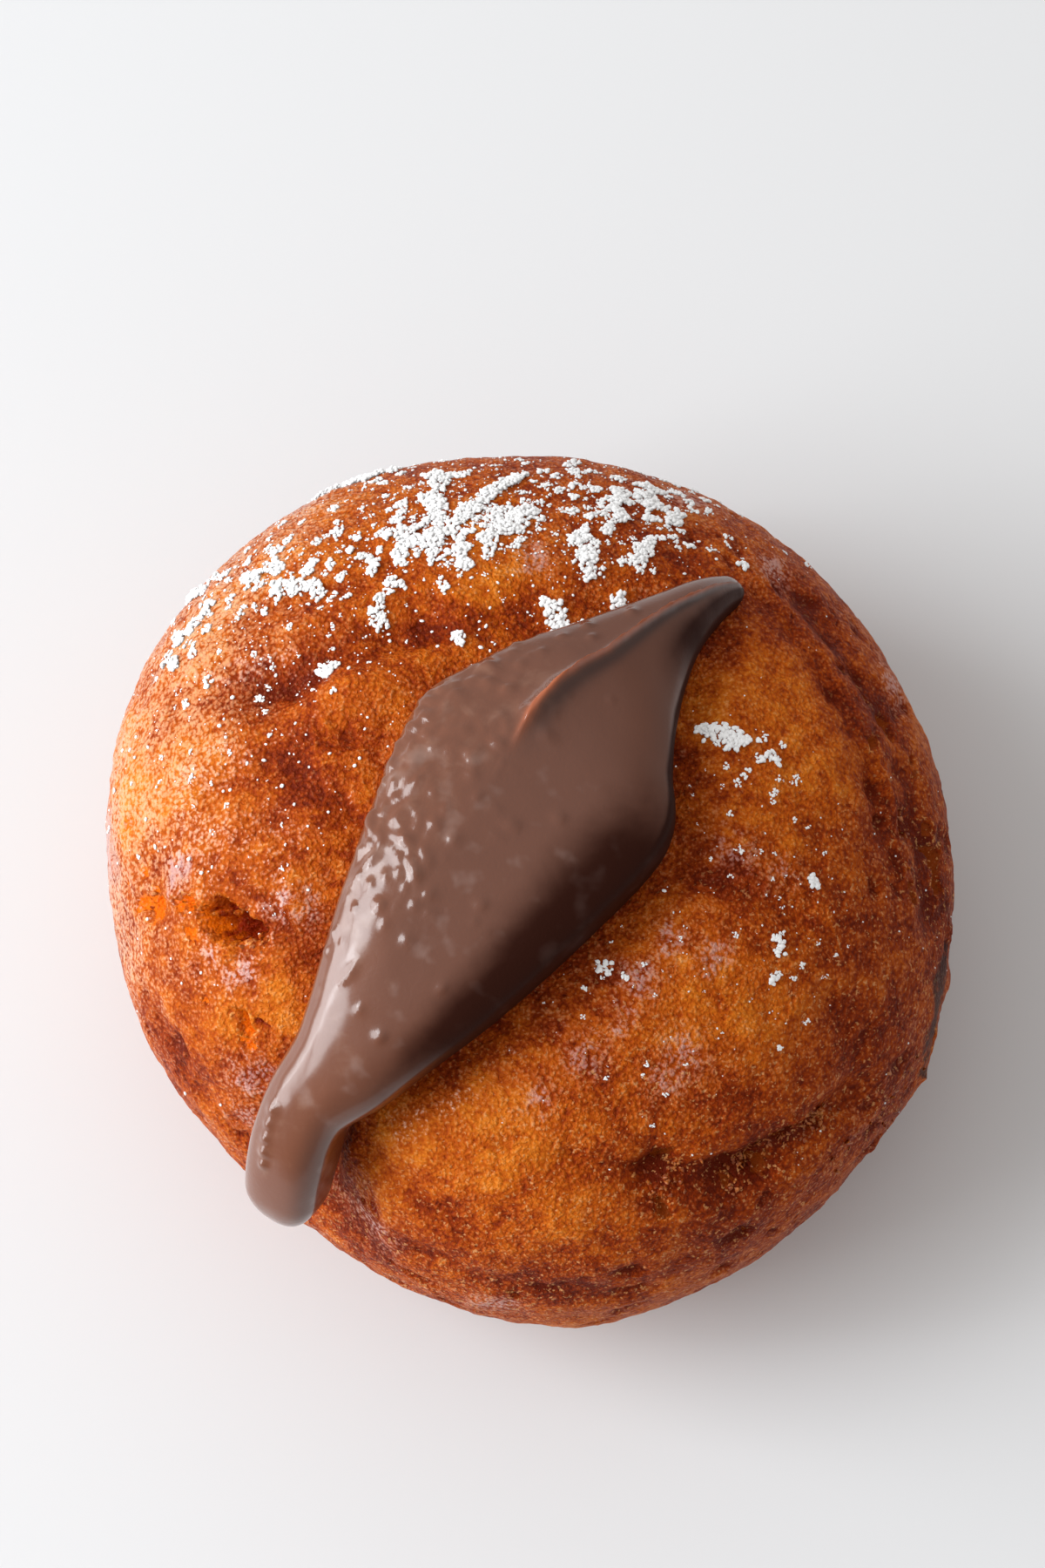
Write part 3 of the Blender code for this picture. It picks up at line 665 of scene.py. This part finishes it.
def cream_mesh():
    """The cream with its crest and bumps, and the masks of its left face, which is painted lighter as lit, its
    crest's painted lit edge, the painted shadow beside its crest and its painted shade.
    """
    bm = bmesh.new()
    bmesh.ops.create_uvsphere(bm, u_segments=CREAM_SIDES, v_segments=CREAM_RINGS, radius=1)
    corners, faces = taken_from(bm)
    share = ((1 - corners[:, 2]) / 2).clip(0, 1)
    turn = np.arctan2(corners[:, 1], corners[:, 0])
    # More of the lines round the section run near the crest
    place = crest_line(share)
    crest_turn = np.arccos(np.sign(place) * np.abs(place) ** (CREAM_SQUARENESS / 2))
    power = 1 + CREST_CROWDING * (SLIT.at("crest", share) / (4 * MM)).clip(0, 1)
    quarter = (2 * np.abs(turn) / math.pi - 1).clip(-1, 1)
    side_room = np.where(quarter > 0, math.pi - crest_turn, crest_turn)
    crowded = crest_turn + np.sign(quarter) * np.abs(quarter) ** power * side_room
    turn = np.where(turn > 0, crowded, turn)
    points = cream_points(share, turn)
    from_crest = np.sign(np.cos(turn)) * np.abs(np.cos(turn)) ** (2 / CREAM_SQUARENESS) - place
    crested = (SLIT.at("crest", share) / (3 * MM)).clip(0, 1) * (turn > 0) * crest_sharpness(share)
    # painted light: the crest's thin edge is lighter, as lit
    lit_crest_edge = np.exp(-((from_crest / 0.03) ** 2)) * crested
    # painted shadow just right of the crest, where the lip shades the face
    lee = np.exp(-(((from_crest - 0.1) / 0.08) ** 2)) * crested
    outward = unit(points - SLIT.at("points", share) - np.array([0, 0, WAIST_HEIGHT]) + 1e-9)
    across = np.cos(turn)
    lobe = (1 - share / 0.4).clip(0, 1)
    rough = (1 - 1 / (1 + np.exp(-(across + 0.25 - lobe) * 9))) / (1 + np.exp((share - 0.74) * 40))
    upper = fade(share, 0.42, 0.06)
    streaks = (SKIN_WAVES + SKIN_STREAKS * upper) * fine_noise(points, 2.4 * MM, 3.0, 3)
    streaks += SKIN_STREAKS * upper * fine_noise(points, 1.1 * MM, 4.0, 2)
    points += outward * (MM * streaks * rough)[:, None]
    # The shade lies on the right flank, along its rim and towards the tip
    shade = fade(across, 0.2, 0.5) * fade(share, 0.2, 0.14) * (1 - fade(share, 0.58, 0.14))
    shade = np.maximum(shade, fade(share, 0.76, 0.12) * fade(across, 0.1, 0.4) * 0.8)
    shade = np.maximum(shade, fade(across, 0.86, 0.08) * fade(share, 0.28, 0.12))
    points += outward * (0.05 * MM * fine_noise(points, 5.0 * MM, 8.0, 2))[:, None]
    rng = random.Random(CREAM_BUMP_SEED)
    bumps = list(CREAM_BUMPS)
    for _ in range(CREAM_BUMP_COUNT):
        size = rng.uniform(*CREAM_BUMP_RADII) ** CREAM_BUMP_POWER
        along, side = rng.gauss(*CREAM_BUMPS_ALONG), CREAM_BUMPS_LEFT + abs(rng.gauss(*CREAM_BUMPS_ACROSS))
        bumps.append((along, min(CREAM_BUMPS_RIGHT, side), size, size * CREAM_BUMP_HEIGHT))
    for along, side, radius, height in bumps:
        middle = cream_points(np.array([along]), np.array([math.acos(max(-0.999, min(0.999, side)))]))
        far = np.linalg.norm(points - middle, axis=1) / (radius * MM)
        points += outward * (height * MM * np.exp(-(far**2)))[:, None]
    return build_mesh("chocolate_cream", points, faces, {"left": rough, "crest": lit_crest_edge, "lee": lee, "shade": shade})


def on_crust(crust, aim):
    """Where the crust lies in a direction from the middle of the waist, and its normal there."""
    middle = Vector((0, 0, WAIST_HEIGHT))
    aim = Vector(aim).normalized()
    point, normal, _, _ = crust.ray_cast(middle + aim * 80 * MM, -aim)
    return np.array(point), np.array(normal)


def clear_of_cream(aims, room):
    """Which directions lie outside the cream by the given room."""
    apart, half_width = SLIT.nearest(ball(unit(aims)))
    return apart > half_width + room


def scattered(rng, places):
    """Random directions round each place, each with the place's largest radius in metres."""
    for direction, spread, count, largest in places:
        middle = on_ball(direction)
        for _ in range(count):
            yield unit(middle + wander(rng, spread * MM / 2)), largest * MM


def large_clumps():
    """(direction, radius) of the clumps that the dough's solid has too."""
    rng = random.Random(SUGAR_SEED)
    clumps = []
    for aim, largest in scattered(rng, SUGAR_DRIFTS):
        radius = largest * rng.uniform(SUGAR_SMALLEST, 1)
        if not clear_of_cream(aim[None], radius + SUGAR_MARGIN)[0]:
            continue
        point = dough_points(aim[None])[0]
        if all(np.linalg.norm(point - other) > SUGAR_APART * (radius + wide) for other, _, wide in clumps):
            clumps.append((point, aim, radius))
    shares = [FRONT_CLUMP_SHARE if aim[1] < FRONT_CLUMPS_END else CLUMP_SHARE for _, aim, _ in clumps]
    return [(aim, radius * share) for (_, aim, radius), share in zip(clumps, shares)]


def small_clumps(rng):
    """(direction, radius) of the loose lumps round the beds."""
    clumps = [(aim, largest * rng.uniform(0.3, 1) ** 1.2) for aim, largest in scattered(rng, SUGAR_SCATTER)]
    return [(aim, radius) for aim, radius in clumps if clear_of_cream(aim[None], radius + 0.3 * MM)[0]]


def bed_grains(rng):
    """(direction, radius, lift) of the grains that fill the beds, ragged at their edges."""
    grains = []
    for start, end, half_width, fullness in SUGAR_BEDS:
        half_width *= MM
        ends = np.array([on_ball(start), on_ball(end)])
        length = np.linalg.norm(ends[1] - ends[0]) + 2 * half_width
        count = int(length * 2 * half_width / BED_STEP**2 * 1.3)
        middle, run = ends.mean(0), unit(ends[1] - ends[0])
        side = unit(np.cross(unit(middle), run))
        for _ in range(count):
            along, across = rng.uniform(-0.6, 0.6) * length, rng.gauss(0, 0.75) * half_width
            place = middle + run * along + side * across
            beyond = max(0, abs(along) - length / 2 + half_width) / half_width
            inside = 1 - (across / half_width) ** 2 * 0.45 - 0.7 * beyond**2
            lumpy = noise.noise(Vector(place) / (1.5 * MM)) + 0.4 * noise.noise(Vector(place) / (0.7 * MM))
            if inside * fullness + 1.1 * lumpy > BED_EDGE:
                grains.append((unit(place), rng.uniform(*BED_GRAIN), max(0, inside) * rng.random()))
    aims = np.array([aim for aim, _, _ in grains])
    from_groove = distance_to_arc(ball(aims), *SUGAR_GROOVE[:2])
    clear = clear_of_cream(aims, 0.4 * MM) & (from_groove > SUGAR_GROOVE[2] * MM)
    return [grain for grain, keep in zip(grains, clear) if keep]


class Scatter:
    """Gathers many small closed lumps into one mesh."""

    def __init__(self):
        bm = bmesh.new()
        bmesh.ops.create_icosphere(bm, subdivisions=1, radius=1)
        self.shape, self.shape_faces = taken_from(bm)
        self.points, self.faces = [], []

    def lump(self, middle, normal, radius, rng, flat=0.65, uneven=0.16):
        side = unit(np.cross(normal, unit(wander(rng, 1))))
        other = np.cross(normal, side)
        stretch = rng.uniform(0.75, 1.3)
        wobble = np.array([1 + rng.uniform(-uneven, uneven) for _ in self.shape])[:, None]
        local = self.shape * wobble * radius * (stretch, 1 / stretch, flat)
        self.faces.append(np.array(self.shape_faces) + len(self.points) * len(self.shape))
        self.points.append(middle + local @ np.array([side, other, normal]))

    def mesh(self, name):
        return build_mesh(name, np.vstack(self.points), np.vstack(self.faces).tolist())


def sugar_clump_mesh(crust):
    """Each clump is a heap of finer grains, so that its outline is ragged."""
    rng = random.Random(SUGAR_FINE_SEED)
    heap = Scatter()
    for aim, radius in large_clumps() + small_clumps(rng):
        count = 3 + round(26 * (radius / MM) ** 1.6)
        for _ in range(count):
            spread = rng.random() ** 0.6 * radius
            turn = rng.uniform(0, math.tau)
            point, normal = on_crust(crust, aim)
            side = unit(np.cross(normal, (0.3, 0.2, 1)))
            offset = side * math.cos(turn) * spread * 1.2 + np.cross(normal, side) * math.sin(turn) * spread * 0.9
            spot, up = on_crust(crust, point + offset - np.array([0, 0, WAIST_HEIGHT]))
            grain = min(CLUMP_GRAIN, radius * 0.5) * rng.uniform(0.45, 1)
            lift = (1 - spread / radius) * radius * 0.35 * rng.random()
            heap.lump(spot + up * (grain * 0.25 + lift), up, grain, rng, 0.75, 0.22)
    for aim, radius, lift in bed_grains(rng):
        spot, up = on_crust(crust, aim)
        heap.lump(spot + up * (radius * 0.25 + lift * 0.35 * MM), up, radius, rng, 0.75, 0.24)
    return heap.mesh("icing_sugar_clumps")


def sugar_dust_mesh(crust):
    """Single grains between the clumps."""
    rng = random.Random(SUGAR_FINE_SEED + 1)
    dust = Scatter()
    for aim, largest in scattered(rng, DUST):
        radius = rng.uniform(DUST_SMALLEST, largest)
        if clear_of_cream(aim[None], 0.4 * MM)[0]:
            spot, up = on_crust(crust, aim)
            dust.lump(spot + up * radius * 0.3, up, radius, rng)
    return dust.mesh("icing_sugar_dust")


def flake_mesh(crust):
    """Curled flakes of crust that stand off its folds: bent blades with a little thickness."""
    rng = random.Random(FLAKE_SEED)
    points, faces = [], []
    for start, end, spread, count in FLAKE_LINES:
        for _ in range(count):
            share = rng.random()
            aim = (1 - share) * toward(*start) + share * toward(*end)
            aim = unit(ball(unit(aim)[None])[0] + wander(rng, spread * MM / 2))
            spot, up = on_crust(crust, aim)
            along = unit(np.cross(up, unit(wander(rng, 1))))
            across = np.cross(up, along)
            length = rng.uniform(*FLAKE_LENGTH) * MM
            width = length * rng.uniform(*FLAKE_WIDTH)
            lean = rng.uniform(0.2, 0.9)
            base = len(points)
            for step in range(5):
                reach = step / 4
                wide = width * (1 - reach) ** 0.6 * rng.uniform(0.8, 1.1) + FLAKE_THICKNESS
                stem = spot - up * 0.06 * MM + up * length * math.sin(reach * lean * 1.6) * 0.7
                stem = stem + along * length * reach * (1 - 0.3 * reach)
                side, thick = across * wide, up * FLAKE_THICKNESS
                points += [stem - side - thick, stem + side - thick]
                points += [stem + side * 0.9 + thick, stem - side * 0.9 + thick]
            for row in range(base, base + 16, 4):
                faces += [[row + k, row + (k + 1) % 4, row + 4 + (k + 1) % 4, row + 4 + k] for k in range(4)]
            faces += [[base + 3, base + 2, base + 1, base], [base + 16, base + 17, base + 18, base + 19]]
    return build_mesh("crust_flakes", np.array(points), faces)


# -------- materials
class Shader:
    """Adds nodes to a material or a group, with inputs given as values or as other nodes' outputs."""

    def __init__(self, tree):
        self.tree = tree

    def add(self, kind, output=0, settings=None, **inputs):
        node = self.tree.nodes.new(kind)
        for key, value in (settings or {}).items():
            setattr(node, key, value)
        for key, value in inputs.items():
            socket = node.inputs[int(key[1:])] if key[1:].isdigit() else node.inputs[key.replace("_", " ")]
            if isinstance(value, bpy.types.NodeSocket):
                self.tree.links.new(value, socket)
            elif isinstance(value, tuple) and len(value) == 3 and socket.type == "RGBA":
                socket.default_value = (*value, 1)
            else:
                socket.default_value = value
        return node.outputs[output]

    def noise(self, place, size, detail=2.0, rough=0.5, warp=0.0):
        return self.add(
            "ShaderNodeTexNoise", Vector=place, Scale=1 / size, Detail=detail, Roughness=rough, Distortion=warp
        )

    def step(self, value, low, high, bottom=0.0, top=1.0):
        """A smooth step from bottom to top, as the value goes from low to high."""
        reach = {"From_Min": low, "From_Max": high, "To_Min": bottom, "To_Max": top}
        return self.add("ShaderNodeMapRange", settings={"interpolation_type": "SMOOTHSTEP"}, Value=value, **reach)

    def maths(self, operation, first, second=0.0, clamp=False):
        settings = {"operation": operation, "use_clamp": clamp}
        return self.add("ShaderNodeMath", settings=settings, _0=first, _1=second)

    def times(self, first, second, clamp=False):
        return self.maths("MULTIPLY", first, second, clamp)

    def vector(self, operation, first, second=(0, 0, 0), output=0, **inputs):
        return self.add("ShaderNodeVectorMath", output, {"operation": operation}, _0=first, _1=second, **inputs)

    def dot(self, first, second):
        return self.vector("DOT_PRODUCT", first, tuple(second), "Value")

    def blend(self, share, first, second):
        """A mix of two colours, each given as sRGB from 0 to 255 or as another node's output."""
        first, second = (srgb(*colour) if isinstance(colour, tuple) else colour for colour in (first, second))
        return self.add("ShaderNodeMixRGB", Fac=share, Color1=first, Color2=second)

    def group(self, name, **inputs):
        """Places a shared group and gives its outputs by name."""
        return self.add("ShaderNodeGroup", settings={"node_tree": bpy.data.node_groups[name]}, **inputs).node.outputs

    def centred(self, value):
        return self.maths("SUBTRACT", value, 0.5)

    def total(self, start, *terms):
        """The sum of a start value and of each term times its weight."""
        settings = {"operation": "MULTIPLY_ADD"}
        for value, weight in terms:
            start = self.add("ShaderNodeMath", settings=settings, _0=value, _1=weight, _2=start)
        return start

    def ramp(self, value, *stops):
        """A colour ramp, its stops given as (place, sRGB colour)."""
        node = self.tree.nodes.new("ShaderNodeValToRGB")
        self.tree.links.new(value, node.inputs[0])
        elements = node.color_ramp.elements
        while len(elements) < len(stops):
            elements.new(0.5)
        for element, (place, colour) in zip(elements, stops):
            element.position = place
            element.color = (*srgb(*colour), 1)
        return node.outputs[0]

    def attribute(self, name):
        return self.add("ShaderNodeAttribute", output="Fac", settings={"attribute_name": name})

    def place(self):
        return self.add("ShaderNodeTexCoord", output="Object")


def material(name):
    made = bpy.data.materials.new(name)
    made.use_nodes = True
    made.node_tree.nodes.clear()
    return made, Shader(made.node_tree)


def srgb(red, green, blue):
    """A colour given as 0 to 255, as linear values."""
    shares = (red / 255, green / 255, blue / 255)
    return tuple(v / 12.92 if v <= 0.04045 else ((v + 0.055) / 1.055) ** 2.4 for v in shares)


def new_group(name, outputs, **numbers):
    """A shader node group with a place and some numbers as inputs, and its outputs, which are numbers too."""
    tree = bpy.data.node_groups.new(name, "ShaderNodeTree")
    tree.interface.new_socket("Place", in_out="INPUT", socket_type="NodeSocketVector")
    for label, value in numbers.items():
        socket = tree.interface.new_socket(label, in_out="INPUT", socket_type="NodeSocketFloat")
        socket.default_value = value
    for label in outputs:
        tree.interface.new_socket(label, in_out="OUTPUT", socket_type="NodeSocketFloat")
    return Shader(tree), tree.nodes.new("NodeGroupInput").outputs, tree.nodes.new("NodeGroupOutput").inputs


def grain_group():
    """Fine grain of rounded pebbles and threads, as a height."""
    s, given, out = new_group("fine_grain", ["Height"], Size=0.4 * MM, Threads=0.5)
    where = {"Vector": given["Place"], "Scale": s.maths("DIVIDE", 1.0, given["Size"])}
    pebbles = s.add("ShaderNodeTexVoronoi", settings={"feature": "SMOOTH_F1"}, Smoothness=0.4, **where)
    threads = s.add("ShaderNodeTexNoise", Detail=2.0, Roughness=0.6, Distortion=1.2, **where)
    height = s.add("ShaderNodeMix", _0=given["Threads"], _2=s.maths("SUBTRACT", 1.0, pebbles), _3=threads)
    s.tree.links.new(height, out["Height"])


def mottle_group():
    """Uneven tone at two sizes, from about -0.5 to 0.5."""
    s, given, out = new_group("mottle", ["Broad Tone", "Close Tone"], Broad=9 * MM, Close=2.6 * MM)
    for size in ("Broad", "Close"):
        where = {"Vector": given["Place"], "Scale": s.maths("DIVIDE", 1.0, given[size])}
        lumps = s.add("ShaderNodeTexNoise", Detail=3.5, Roughness=0.58, Distortion=0.3, **where)
        s.tree.links.new(s.centred(lumps), out[size + " Tone"])


def crust_finish():
    """Fried crust: its tone with a painted sheen on the window side and painted shade away from it and by the cream,
    torn places with painted light, shade and glow, a film of melted sugar on its grain, specks and burnt spots.
    """
    made, s = material("fried_crust")
    place = s.place()
    mottle = s.group("mottle", Place=place, Broad=8 * MM, Close=2.2 * MM)
    grain = s.group("fine_grain", Place=place, Size=0.44 * MM, Threads=0.55)
    fibres = s.noise(place, 1.0 * MM, 3, 0.6, 1.0)
    fold = s.attribute("fold")
    toward_light = s.dot(place, tuple(unit(np.array(WINDOW_SIDE))))
    # painted sheen of the window light on the crust's lit side
    window_sheen = s.step(toward_light, 32 * MM, 46 * MM)
    lit_side = s.step(toward_light, -20 * MM, 30 * MM)
    # painted shade on the side away from the window
    far_side_shade = s.step(toward_light, -18 * MM, -38 * MM)

    tone = s.total(
        0.43,
        (s.centred(s.attribute("height")), 0.16),
        (mottle["Broad Tone"], 0.7),
        (mottle["Close Tone"], 0.8),
        (s.centred(fibres), 0.5),
        (s.centred(grain["Height"]), 0.9),
        (s.attribute("amber"), 0.24),
        (s.attribute("brown"), -0.16),
        (fold, -0.55),
        # painted shade next to the cream
        (s.attribute("lip"), -0.18),
        (s.attribute("rim_pit"), -0.3),
        (window_sheen, 0.12),
        (far_side_shade, -0.12),
    )
    colour = s.ramp(tone, *CRUST_TONES)
    # Torn places are painted with light and shade: amber on their lit side, dark red on their shaded side and
    # browner on the side away from the window
    ragged = s.total(0, (s.attribute("pit"), 1.0), (mottle["Close Tone"], 0.6), (s.centred(fibres), 0.6))
    shaded_side = s.total(1.76, (s.centred(s.noise(place, 2.0 * MM, 3)), 1.6), (s.dot(place, (1, 0.2, 0.6)), 220.0))
    inside = s.blend(s.step(shaded_side, 0.0, 0.7), TORN_LIT, TORN_SHADED)
    inside = s.blend(s.step(s.dot(place, (1, -0.3, 0)), 0, 20 * MM), inside, TORN_SHADED_FAR_SIDE)
    colour = s.blend(s.step(ragged, 0.3, 0.4), colour, inside)
    glow = s.blend(s.step(ragged, 0.32, 0.5), (0, 0, 0), inside)
    crumbs = s.times(s.step(ragged, 0.18, 0.26), s.step(ragged, 0.34, 0.28))
    colour = s.blend(s.times(crumbs, s.step(fibres, 0.54, 0.64, 0, 0.6)), colour, TORN_CRUMBS)
    # A film of melted sugar lies on the grain's tops, thicker in some places, and on the window side it is laid
    # thicker as a painted sheen
    film_and_sheen = s.total(
        -0.2,
        (s.attribute("bloom"), 0.7),
        (mottle["Broad Tone"], 0.8),
        (s.step(s.noise(place, 4.5 * MM, 4, 0.65), 0.45, 0.7), 0.25),
        (window_sheen, 0.72),
        (fold, -0.5),
        (s.attribute("pit"), -0.8),
    )
    tops = s.step(s.total(0, (grain["Height"], 1.0), (s.centred(fibres), 0.35), (film_and_sheen, 0.22)), 0.5, 0.72)
    tint = s.blend(s.attribute("bloom"), SUGAR_FILM_AND_SHEEN, SUGAR_BLOOM)
    film_and_sheen = s.times(s.step(film_and_sheen, -0.05, 0.75, 0.13, 0.72), s.times(tops, s.total(1, (fold, -0.95))))
    colour = s.blend(film_and_sheen, colour, tint)
    specks = s.step(s.noise(place, 0.5 * MM, 2, 0.6), 0.6, 0.68, 0, 0.75)
    low_front = s.step(s.dot(place, (0.6, -0.8, -0.3)), -8 * MM, 20 * MM, 0.2, 1)
    colour = s.blend(s.times(specks, low_front), colour, CRUST_SPECKS)
    burnt = s.total(0, (s.attribute("burnt"), 1.0), (s.centred(fibres), 0.8))
    colour = s.blend(s.step(burnt, 0.3, 0.75, 0, 0.85), colour, CRUST_BURNT)
    bumps = s.add("ShaderNodeBump", Strength=1.0, Distance=0.18 * MM, Height=fibres)
    bumps = s.add("ShaderNodeBump", Strength=1.0, Distance=0.44 * MM, Height=grain["Height"], Normal=bumps)
    principled(
        s,
        Base_Color=colour,
        Roughness=0.5,
        Normal=bumps,
        Subsurface_Weight=0.08,
        Subsurface_Radius=(2.5 * MM, 1.0 * MM, 0.3 * MM),
        Subsurface_Scale=1.0,
        Specular_IOR_Level=0.07,
        Coat_Weight=s.times(tops, s.total(0.24, (lit_side, 0.5), (fold, -0.5)), clamp=True),
        Coat_Roughness=0.15,
        Emission_Color=glow,  # painted glow: emission that stands for light coming through the crumb into the torn places
        Emission_Strength=0.1,
    )
    return made


def cream_finish():
    """Chocolate cream, glossier on its left and painted paler there as lit, dark and dull in its painted shade."""
    made, s = material("chocolate_cream")
    place = s.place()
    mottle = s.group("mottle", Place=place, Broad=9 * MM, Close=3 * MM)
    left = s.attribute("left")
    # painted light: the left face is paler as lit, the right darker
    tone = s.step(s.total(0, (left, 1.0), (mottle["Broad Tone"], 1.0)), -0.1, 1.1)
    colour = s.blend(tone, CREAM_SHADED_RIGHT, CREAM_LIT_LEFT)
    shade = s.step(s.total(0, (s.attribute("shade"), 1.0), (mottle["Broad Tone"], 0.8)), 0.1, 0.9)
    colour = s.blend(shade, colour, CREAM_SHADE)
    # painted shadow beside the crest
    colour = s.blend(s.times(s.attribute("lee"), 0.75), colour, CREAM_CREST_SHADOW)
    colour = s.blend(s.times(s.step(mottle["Close Tone"], 0, 0.25, 0, 0.3), left), colour, CREAM_CLOUDS)
    # Faint pale smudges, as fat or sugar leaves them
    smudges = s.step(s.noise(place, 3.0 * MM, 2, 0.5), 0.55, 0.8, 0, 0.3)
    smudges = s.times(smudges, s.step(s.dot(place, (0.5, 0.85, 0)), 8 * MM, -6 * MM))
    colour = s.blend(s.times(smudges, s.total(1, (shade, -0.8))), colour, CREAM_SMUDGES)
    # painted light along the crest's edge
    colour = s.blend(s.times(s.attribute("crest"), 0.85), colour, CREAM_LIT_CREST)
    grain = s.group("fine_grain", Place=place, Size=0.9 * MM, Threads=1.0)
    bumps = s.add("ShaderNodeBump", Strength=1.0, Distance=0.03 * MM, Height=grain["Height"])
    principled(
        s,
        Base_Color=colour,
        Roughness=s.total(0.3, (shade, 0.25)),
        Normal=bumps,
        Specular_IOR_Level=0.12,
        Coat_Weight=s.total(0.9, (shade, -0.9)),
        Coat_Roughness=0.15,
        Coat_IOR=1.66,
    )
    return made


def sugar_finish():
    """Icing sugar, shaded softly: its normals are drawn to the way out from the middle of the bun, and a painted
    glow stands for light through the powder.
    """
    made, s = material("icing_sugar")
    place = s.place()
    grain = s.group("fine_grain", Place=place, Size=0.12 * MM, Threads=0.7)
    colour = s.blend(s.step(grain["Height"], 0.3, 0.7), SUGAR_HOLLOW, SUGAR_TOP)
    outward = s.vector("SUBTRACT", place, (0, 0, WAIST_HEIGHT - 10 * MM))
    outward = s.vector("SCALE", s.vector("NORMALIZE", outward), Scale=1.6)
    soft = s.vector("NORMALIZE", s.vector("ADD", outward, s.add("ShaderNodeNewGeometry", output="Normal")))
    # painted glow: emission that stands for light scattered through the powder
    painted_glow = {"Emission_Color": srgb(*SUGAR_GLOW), "Emission_Strength": 0.12}
    principled(s, Base_Color=colour, Roughness=0.9, Normal=soft, Specular_IOR_Level=0.2, **painted_glow)
    return made


def flake_finish():
    made, s = material("crust_flake")
    mottle = s.group("mottle", Place=s.place(), Broad=3 * MM, Close=1 * MM)
    colour = s.blend(s.step(mottle["Close Tone"], -0.15, 0.15), FLAKE_DARK, FLAKE_LIGHT)
    principled(s, Base_Color=colour, Roughness=0.4)
    return made


def principled(s, **inputs):
    out = s.tree.nodes.new("ShaderNodeOutputMaterial")
    s.tree.links.new(s.add("ShaderNodeBsdfPrincipled", **inputs), out.inputs["Surface"])


# -------- pieces
def make_pieces():
    grain_group()
    mottle_group()
    mesh, crust = crust_mesh()
    sugar = sugar_finish()
    add_piece("bombolone_crust", mesh, crust_finish(), "dough")
    add_piece("chocolate_cream", cream_mesh(), cream_finish(), "cream")
    add_piece("icing_sugar_clumps", sugar_clump_mesh(crust), sugar)
    add_piece("icing_sugar_dust", sugar_dust_mesh(crust), sugar)
    add_piece("crust_flakes", flake_mesh(crust), flake_finish())


def make_stage():
    bpy.ops.mesh.primitive_plane_add(size=TABLE_SIZE)
    table = bpy.context.object
    table.name = "table"
    made, s = material("table_top")
    principled(s, Base_Color=TABLE_GREY, Roughness=0.6)
    table.data.materials.append(made)

    make_room_light()
    for pane in WINDOW:
        add_window(*pane)


def make_room_light():
    """A plain pale room, brighter on the window's side and overhead than opposite."""
    world = bpy.data.worlds.new("room")
    bpy.context.scene.world = world
    world.use_nodes = True
    s = Shader(world.node_tree)
    direction = s.add("ShaderNodeTexCoord", output="Generated")
    facing = s.dot(direction, unit(np.array(ROOM_BRIGHT_SIDE)))
    background = world.node_tree.nodes["Background"]
    background.inputs["Color"].default_value = (*ROOM_COLOUR, 1)
    world.node_tree.links.new(s.step(facing, 0.15, 0.9, ROOM_DARK, ROOM_BRIGHT), background.inputs["Strength"])


def add_window(name, place, size, power):
    light = bpy.data.lights.new(name, "AREA")
    light.shape = "RECTANGLE"
    light.size, light.size_y = size
    light.energy = power
    light.color = WINDOW_COLOUR
    lamp = bpy.data.objects.new(name, light)
    bpy.context.scene.collection.objects.link(lamp)
    lamp.location = place
    lamp.rotation_euler = (Vector((0, 0, WAIST_HEIGHT)) - Vector(place)).to_track_quat("-Z", "Y").to_euler()


def make_camera():
    back = Vector((0, -math.cos(CAMERA_ELEVATION), math.sin(CAMERA_ELEVATION)))
    over = Vector((0, math.sin(CAMERA_ELEVATION), math.cos(CAMERA_ELEVATION)))
    target = Vector(CAMERA_TARGET) + Vector((0, 0, WAIST_HEIGHT)) + over * CAMERA_RAISE
    camera = bpy.data.objects.new("camera", bpy.data.cameras.new("camera"))
    bpy.context.scene.collection.objects.link(camera)
    camera.data.lens = CAMERA_LENS
    camera.data.clip_start = 10 * MM
    camera.location = target + back * CAMERA_DISTANCE
    camera.rotation_euler = back.to_track_quat("Z", "Y").to_euler()
    bpy.context.scene.camera = camera
    bpy.context.scene.view_settings.view_transform = "Standard"


make_camera()
make_stage()
make_pieces()
